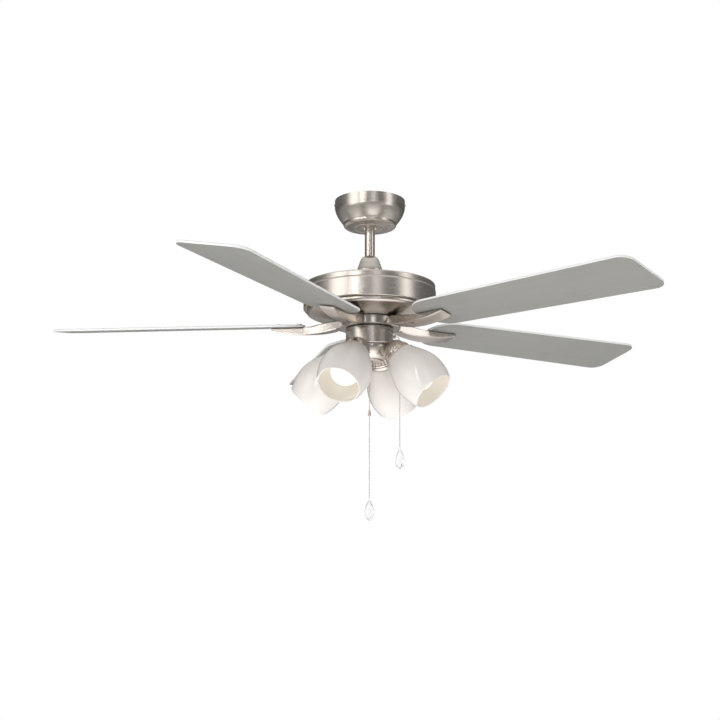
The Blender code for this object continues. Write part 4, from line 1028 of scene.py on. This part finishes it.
class FAN_OT_blades(bpy.types.Operator):
    """Five blade arms with their blocks of the hub, and five pitched blades with their screws"""
    bl_idname = "fan.blades"
    bl_label = "Arms and blades"

    def execute(self, context):
        detail = context.scene.fan_detail
        outline = blade_outline()
        for number in range(1, BLADES + 1):
            place = at(0, 0, BLADE_Z) @ spin_z(BLADE_AZ + (number - 1) * 360 / BLADES)
            arm = boolean(arm_shape(detail.chamfer), hub_block(), "UNION")
            spun(arm, f"cast_arm_{number}", f"blade_arm_{number}", "rotor", place, 28, "drawn_nickel")
            pitched = place @ Matrix.Rotation(radians(BLADE_PITCH), 4, "X")
            self.blade(number, outline, pitched)
            self.screws(number, pitched, detail.screw_radius)
        return {"FINISHED"}

    def blade(self, number, outline, place):
        bm = bmesh.new()
        face = bm.faces.new([bm.verts.new((x, y, -BLADE_T / 2)) for x, y in outline])
        pulled = bmesh.ops.extrude_face_region(bm, geom=[face])["geom"]
        bmesh.ops.translate(bm, verts=[v for v in pulled if isinstance(v, bmesh.types.BMVert)], vec=(0, 0, BLADE_T))
        rim = [e for e in bm.edges
               if len(e.link_faces) == 2 and {len(f.verts) > 4 for f in e.link_faces} == {True, False}]
        bmesh.ops.bevel(bm, geom=rim, offset=0.0009, affect="EDGES", segments=3, profile=0.5, material=-1)
        finished(settle(bm), f"board_{number}", ["painted_board"], "rotor",
                 (f"blade_{number}",), place, sharp=50)

    def screws(self, number, place, radius):
        bm = bmesh.new()
        for x, y in ((0.147, -0.0105), (0.147, 0.0105), (0.190, 0.0)):
            wide = radius * 1.25
            washer = lathe(rounded([(0, 0.0007, 0), (wide, 0.0007, 0.0003), (wide, 0, 0), (0, 0, 0)]), 24)
            head = pan_head(radius, 0.0022)
            add(head, washer, at(0, 0, -0.00072))
            add(bm, head, at(x, y, BLADE_T / 2 + 0.00075))
        finished(bm, f"blade_screws_{number}", ["bright_nickel"], "rotor", (), place)


# ---------------------------------------------------------------- switch housing and fitter
def bowl_side(steps=20):
    """The fitter bowl's side, from under its rim down to its foot."""
    drop = FITTER_TOP - FITTER_BOTTOM - FITTER_FOOT_H
    shares = [i / steps for i in range(1, steps + 1)]
    return [(FITTER_FOOT_R + (FITTER_R - FITTER_FOOT_R) * cos(share * pi / 2)**0.8, FITTER_TOP - drop * share**0.9)
            for share in shares]


class FAN_OT_switch_housing(bpy.types.Operator):
    """The cup under the hub, its screws, and the fitter bowl under it"""
    bl_idname = "fan.switch_housing"
    bl_label = "Switch housing"

    def execute(self, context):
        inside, wire_hole = CUP_R - SHEET, 0.010
        outer = [(inside, CUP_TOP, 0), (CUP_R - 0.0003, CUP_TOP, 0.0003), (CUP_R, CUP_TOP - 0.0006, 0.0003),
                 (CUP_R, CUP_BOTTOM + 0.0012, 0.0022), (CUP_R - 0.0016, CUP_BOTTOM, 0.0020),
                 (wire_hole, CUP_BOTTOM, 0)]
        inner = [(wire_hole, CUP_BOTTOM + SHEET, 0), (inside, CUP_BOTTOM + SHEET, 0.002)]
        cup = lathe(rounded(outer + inner, 5), 128)
        turn = spin_z(FERRULE_AZ) @ along_x(CUP_R, 0, FAN_CHAIN_ROUTE[0][1])
        cup = boolean(cup, drill(0.0035, 0.01, turn))
        knob = middle_of("reverse_slider")
        azimuth = atan2(knob[1], knob[0]) * 180 / pi
        slot = block((0.02, 0.0054, 0.0104), spin_z(azimuth) @ at(CUP_R, 0, knob[2] - 0.0025), 0.0006)
        cup = boolean(cup, slot)
        spun(cup, "spun_switch_housing", "switch_housing", sharp=40)
        bm = bmesh.new()
        for azimuth in (138, 258, 18):
            add(bm, pan_head(0.0026, 0.0012), spin_z(azimuth) @ along_x(CUP_R + 0.0001, 0, CUP_BOTTOM + 0.0105))
        finished(bm, "housing_screws", ["bright_nickel"], "fan_frame")
        self.fitter()
        return {"FINISHED"}

    def fitter(self):
        foot, hole = FITTER_FOOT_R, 0.0039
        outer = [(FITTER_R - SHEET, FITTER_TOP, 0), (FITTER_R - 0.0004, FITTER_TOP, 0.0003)]
        outer += [(r, z, 0) for r, z in bowl_side()]
        outer += [(foot - 0.0010, FITTER_BOTTOM + 0.0006, 0.0012), (foot - 0.0040, FITTER_BOTTOM, 0.0010),
                  (hole, FITTER_BOTTOM, 0)]
        inner = [(hole, FITTER_BOTTOM + SHEET, 0)]
        inner += [(r - SHEET, z + SHEET, 0) for r, z, _ in reversed(outer[4:-3:2])]
        bowl = lathe(rounded(outer + inner), 96)
        spun(bowl, "spun_fitter", "light_fitter", sharp=40)


# ---------------------------------------------------------------- lamps
def lamp_place(number):
    turn = spin_z(LAMP_AZ + (number - 1) * 360 / LAMPS)
    return turn @ at(COLLAR_RADIUS, 0, CUP_BOTTOM - COLLAR_DROP) @ Matrix.Rotation(-radians(LAMP_TILT), 4, "Y")


def shade_radius(s):
    belly = SHADE_BELLY_AT * SHADE_L
    if s < belly:
        return SHADE_COLLAR_R + (SHADE_BELLY_R - SHADE_COLLAR_R) * sin(pi / 2 * s / belly)
    return SHADE_BELLY_R - (SHADE_BELLY_R - SHADE_MOUTH_R) * ((s - belly) / (SHADE_L - belly))**2


class FAN_OT_lamps(bpy.types.Operator):
    """Four fluted holders with their sockets, bulbs and frosted shades"""
    bl_idname = "fan.lamps"
    bl_label = "Lamps"

    def execute(self, context):
        detail = context.scene.fan_detail
        for number in range(1, LAMPS + 1):
            place = lamp_place(number)
            self.holder(number, place, detail)
            self.socket_and_bulb(number, place)
            self.shade(number, place)
        return {"FINISHED"}

    def holder(self, number, place, detail):
        ring_in, seat = SHADE_NECK_R + 0.0008, SHADE_NECK_L + 0.0016
        cavity, floor = SOCKET_R + 0.0040, SHADE_NECK_L + 0.0101
        back = HOLDER_BACK
        outer = [(0, back, 0), (0.0095, back, 0.0012), (0.0130, back - 0.0014, 0.001),
                 (0.0175, back - 0.0040, 0.002)]
        outer += [(0.0215, back - 0.0085, 0.003), (0.0238, 0.0205, 0.004), (HOLDER_R, 0.0098, 0.001)]
        outer += [(HOLDER_R - 0.0008, 0.0088, 0.0004), (HOLDER_RING_R - 0.0002, HOLDER_RING_H, 0.0008),
                  (HOLDER_RING_R, 0.0008, 0.0008), (HOLDER_RING_R - 0.0010, 0.0002, 0.0004)]
        inner = [(ring_in, 0.0002, 0.0002), (ring_in, seat, 0), (cavity, seat, 0), (cavity, floor, 0), (0, floor, 0)]
        line = rounded(outer + inner, 3)
        dense = []
        for (r1, z1), (r2, z2) in zip(line, line[1:]):
            parts = max(1, round(hypot(r2 - r1, z2 - z1) / 0.0012)) if z1 > 0.0095 and r1 > 0.009 else 1
            dense += [(r1 + (r2 - r1) * i / parts, z1 + (z2 - z1) * i / parts) for i in range(parts)]
        shape = lathe(dense + [line[-1]], detail.flutes * 8)
        for vert in shape.verts:
            radius = hypot(vert.co.x, vert.co.y)
            inner_wall = radius < cavity + 0.0002 and vert.co.z < floor + 0.0005
            if vert.co.z < 0.0098 or radius < 0.0105 or inner_wall:
                continue
            fade = smoothstep((vert.co.z - 0.0098) / 0.003) * smoothstep((radius - 0.0105) / 0.005)
            wave = abs(sin(atan2(vert.co.y, vert.co.x) * detail.flutes / 2))
            shrink = 1 - detail.flute_depth * fade * (1 - wave) / radius
            vert.co.x *= shrink
            vert.co.y *= shrink
        bowl = self.clearance()
        bmesh.ops.transform(bowl, matrix=place.inverted(), verts=bowl.verts)
        spun(boolean(shape, bowl), f"fluted_holder_{number}", f"lamp_holder_{number}", place=place)
        bm = bmesh.new()
        for turn in (30, 150, 270):
            screw = lathe(rounded([(0, 0.0052, 0), (0.0021, 0.0052, 0.0006), (0.0021, 0.0016, 0.0004),
                                   (0.0012, 0.0014, 0), (0.0012, -0.0012, 0), (0, -0.0012, 0)]), 20)
            add(bm, screw, spin_z(turn) @ along_x(HOLDER_RING_R, 0, 0.0044))
        finished(bm, f"shade_screws_{number}", ["bright_nickel"], "fan_frame", (), place)

    def clearance(self):
        """The space of the bowl and the cup above it, grown by the gap."""
        line = [(0, FITTER_TOP + 0.02), (CUP_R + 0.0008, FITTER_TOP + 0.02), (CUP_R + 0.0008, CUP_BOTTOM - 0.0008)]
        line.append((FITTER_R + GAP, CUP_BOTTOM - 0.0008))
        line += [(r + GAP, z) for r, z in bowl_side()]
        line += [(FITTER_FOOT_R - 0.003 + GAP, FITTER_BOTTOM - GAP), (0, FITTER_BOTTOM - GAP)]
        return lathe(line, 96)

    def socket_and_bulb(self, number, place):
        back = SHADE_NECK_L + 0.0098
        front = back - SOCKET_L
        pocket = front + 0.0240
        bore = BULB_BASE_R + GAP
        tube = lathe(rounded([(0, back, 0), (SOCKET_R, back, 0.0006), (SOCKET_R, front, 0.0012),
                              (bore, front, 0.0006), (bore, pocket, 0), (0, pocket, 0)]), 48)
        finished(tube, f"ceramic_socket_{number}", ["socket_ceramic"], "fan_frame",
                 (f"lamp_socket_{number}",), place)
        base = pocket - GAP
        tip = base - BULB_L
        centre = tip + BULB_R
        neck_z = front - 0.0012
        turns = [radians(50 - 140 * i / 28) for i in range(28)]
        globe = [(BULB_R * cos(turn), centre + BULB_R * sin(turn), 0) for turn in turns]
        line = [(0, base, 0), (0.0095, base, 0.0008), (BULB_BASE_R, base - 0.003, 0.001),
                (BULB_BASE_R, neck_z, 0.0006), (0.0150, neck_z - 0.001, 0.0006),
                (0.0168, neck_z - 0.0095, 0.006), *globe, (0, tip, 0)]
        finished(lathe(rounded(line), 64), f"lamp_{number}", ["lit_bulb"], "fan_frame",
                 (f"bulb_{number}",), place)

    def shade(self, number, place):
        steps = 36
        body = [0.0006 + (SHADE_L - 0.0026) * i / steps for i in range(steps + 1)]
        outer = [(SHADE_NECK_R, SHADE_NECK_L, 0.0006), (SHADE_NECK_R, 0.0002, 0.0006)]
        outer += [(shade_radius(s), -s, 0) for s in body]
        rim_r, rim_z, half = shade_radius(body[-1]) - GLASS / 2, -body[-1], GLASS / 2
        turns = [radians(-30 * i) for i in range(1, 6)]
        rim = [(rim_r + half * cos(turn), rim_z + half * 0.9 * sin(turn), 0) for turn in turns]
        inner = [(shade_radius(s) - GLASS, -s, 0) for s in reversed(body[1:])]
        inner += [(SHADE_NECK_R - GLASS, -0.004, 0.004), (SHADE_NECK_R - GLASS, SHADE_NECK_L, 0.0006)]
        shape = lathe(rounded([(SHADE_NECK_R - GLASS / 2, SHADE_NECK_L, 0), *outer, *rim, *inner]), 96)
        finished(shape, f"frosted_shade_{number}", ["frosted_glass"], "fan_frame",
                 (f"glass_shade_{number}",), place, sharp=50)


# ---------------------------------------------------------------- inner pieces
class FAN_OT_inner_finishes(bpy.types.Operator):
    """Finishes of the bracket, the coupling, the motor's inner pieces and the switches"""
    bl_idname = "fan.inner_finishes"
    bl_label = "Inner finishes"

    def execute(self, context):
        finishes = {
            "plated_steel": ("hanger_bracket", "motor_coupling", "switch_plate"),
            "ground_steel": ("ball_cross_pin", "coupling_pin", "motor_shaft", "upper_bearing", "lower_bearing"),
            "motor_iron": ("rotor_cover", "rotor_shell", "stator", "flywheel"),
            "switch_plastic": ("speed_switch", "capacitor", "reverse_switch", "reverse_slider", "light_switch"),
        }
        for finish, names in finishes.items():
            for name in names:
                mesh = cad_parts[name].data
                mesh.materials.clear()
                mesh.materials.append(bpy.data.materials[finish])
        return {"FINISHED"}


# ---------------------------------------------------------------- panel and registration
STEPS = (FAN_OT_stage, FAN_OT_pull_chains, FAN_OT_canopy, FAN_OT_downrod, FAN_OT_housing, FAN_OT_blades,
         FAN_OT_switch_housing, FAN_OT_lamps, FAN_OT_inner_finishes)


class FAN_PT_panel(bpy.types.Panel):
    """Lists the fan's sizes and finishes, and the steps that build it"""
    bl_idname = "FAN_PT_panel"
    bl_label = "Ceiling fan"
    bl_space_type = "VIEW_3D"
    bl_region_type = "UI"
    bl_category = "Fan"

    def draw(self, context):
        for group_name in ("fan_finish", "fan_detail", "fan_stage"):
            settings = getattr(context.scene, group_name)
            for name in settings.bl_rna.properties.keys():
                if name not in ("rna_type", "name"):
                    self.layout.prop(settings, name)
        for step in STEPS:
            self.layout.operator(step.bl_idname)


CLASSES = (FanFinishSettings, FanDetailSettings, FanStageSettings, *STEPS, FAN_PT_panel)


def register():
    for cls in CLASSES:
        bpy.utils.register_class(cls)
    bpy.types.Scene.fan_finish = PointerProperty(type=FanFinishSettings)
    bpy.types.Scene.fan_detail = PointerProperty(type=FanDetailSettings)
    bpy.types.Scene.fan_stage = PointerProperty(type=FanStageSettings)


def unregister():
    for name in ("fan_finish", "fan_detail", "fan_stage"):
        delattr(bpy.types.Scene, name)
    for cls in reversed(CLASSES):
        bpy.utils.unregister_class(cls)


def main():
    register()
    build_materials()
    for step in STEPS:
        call = step.bl_idname.split(".")[1]
        getattr(bpy.ops.fan, call)()


if __name__ == "__main__":
    main()
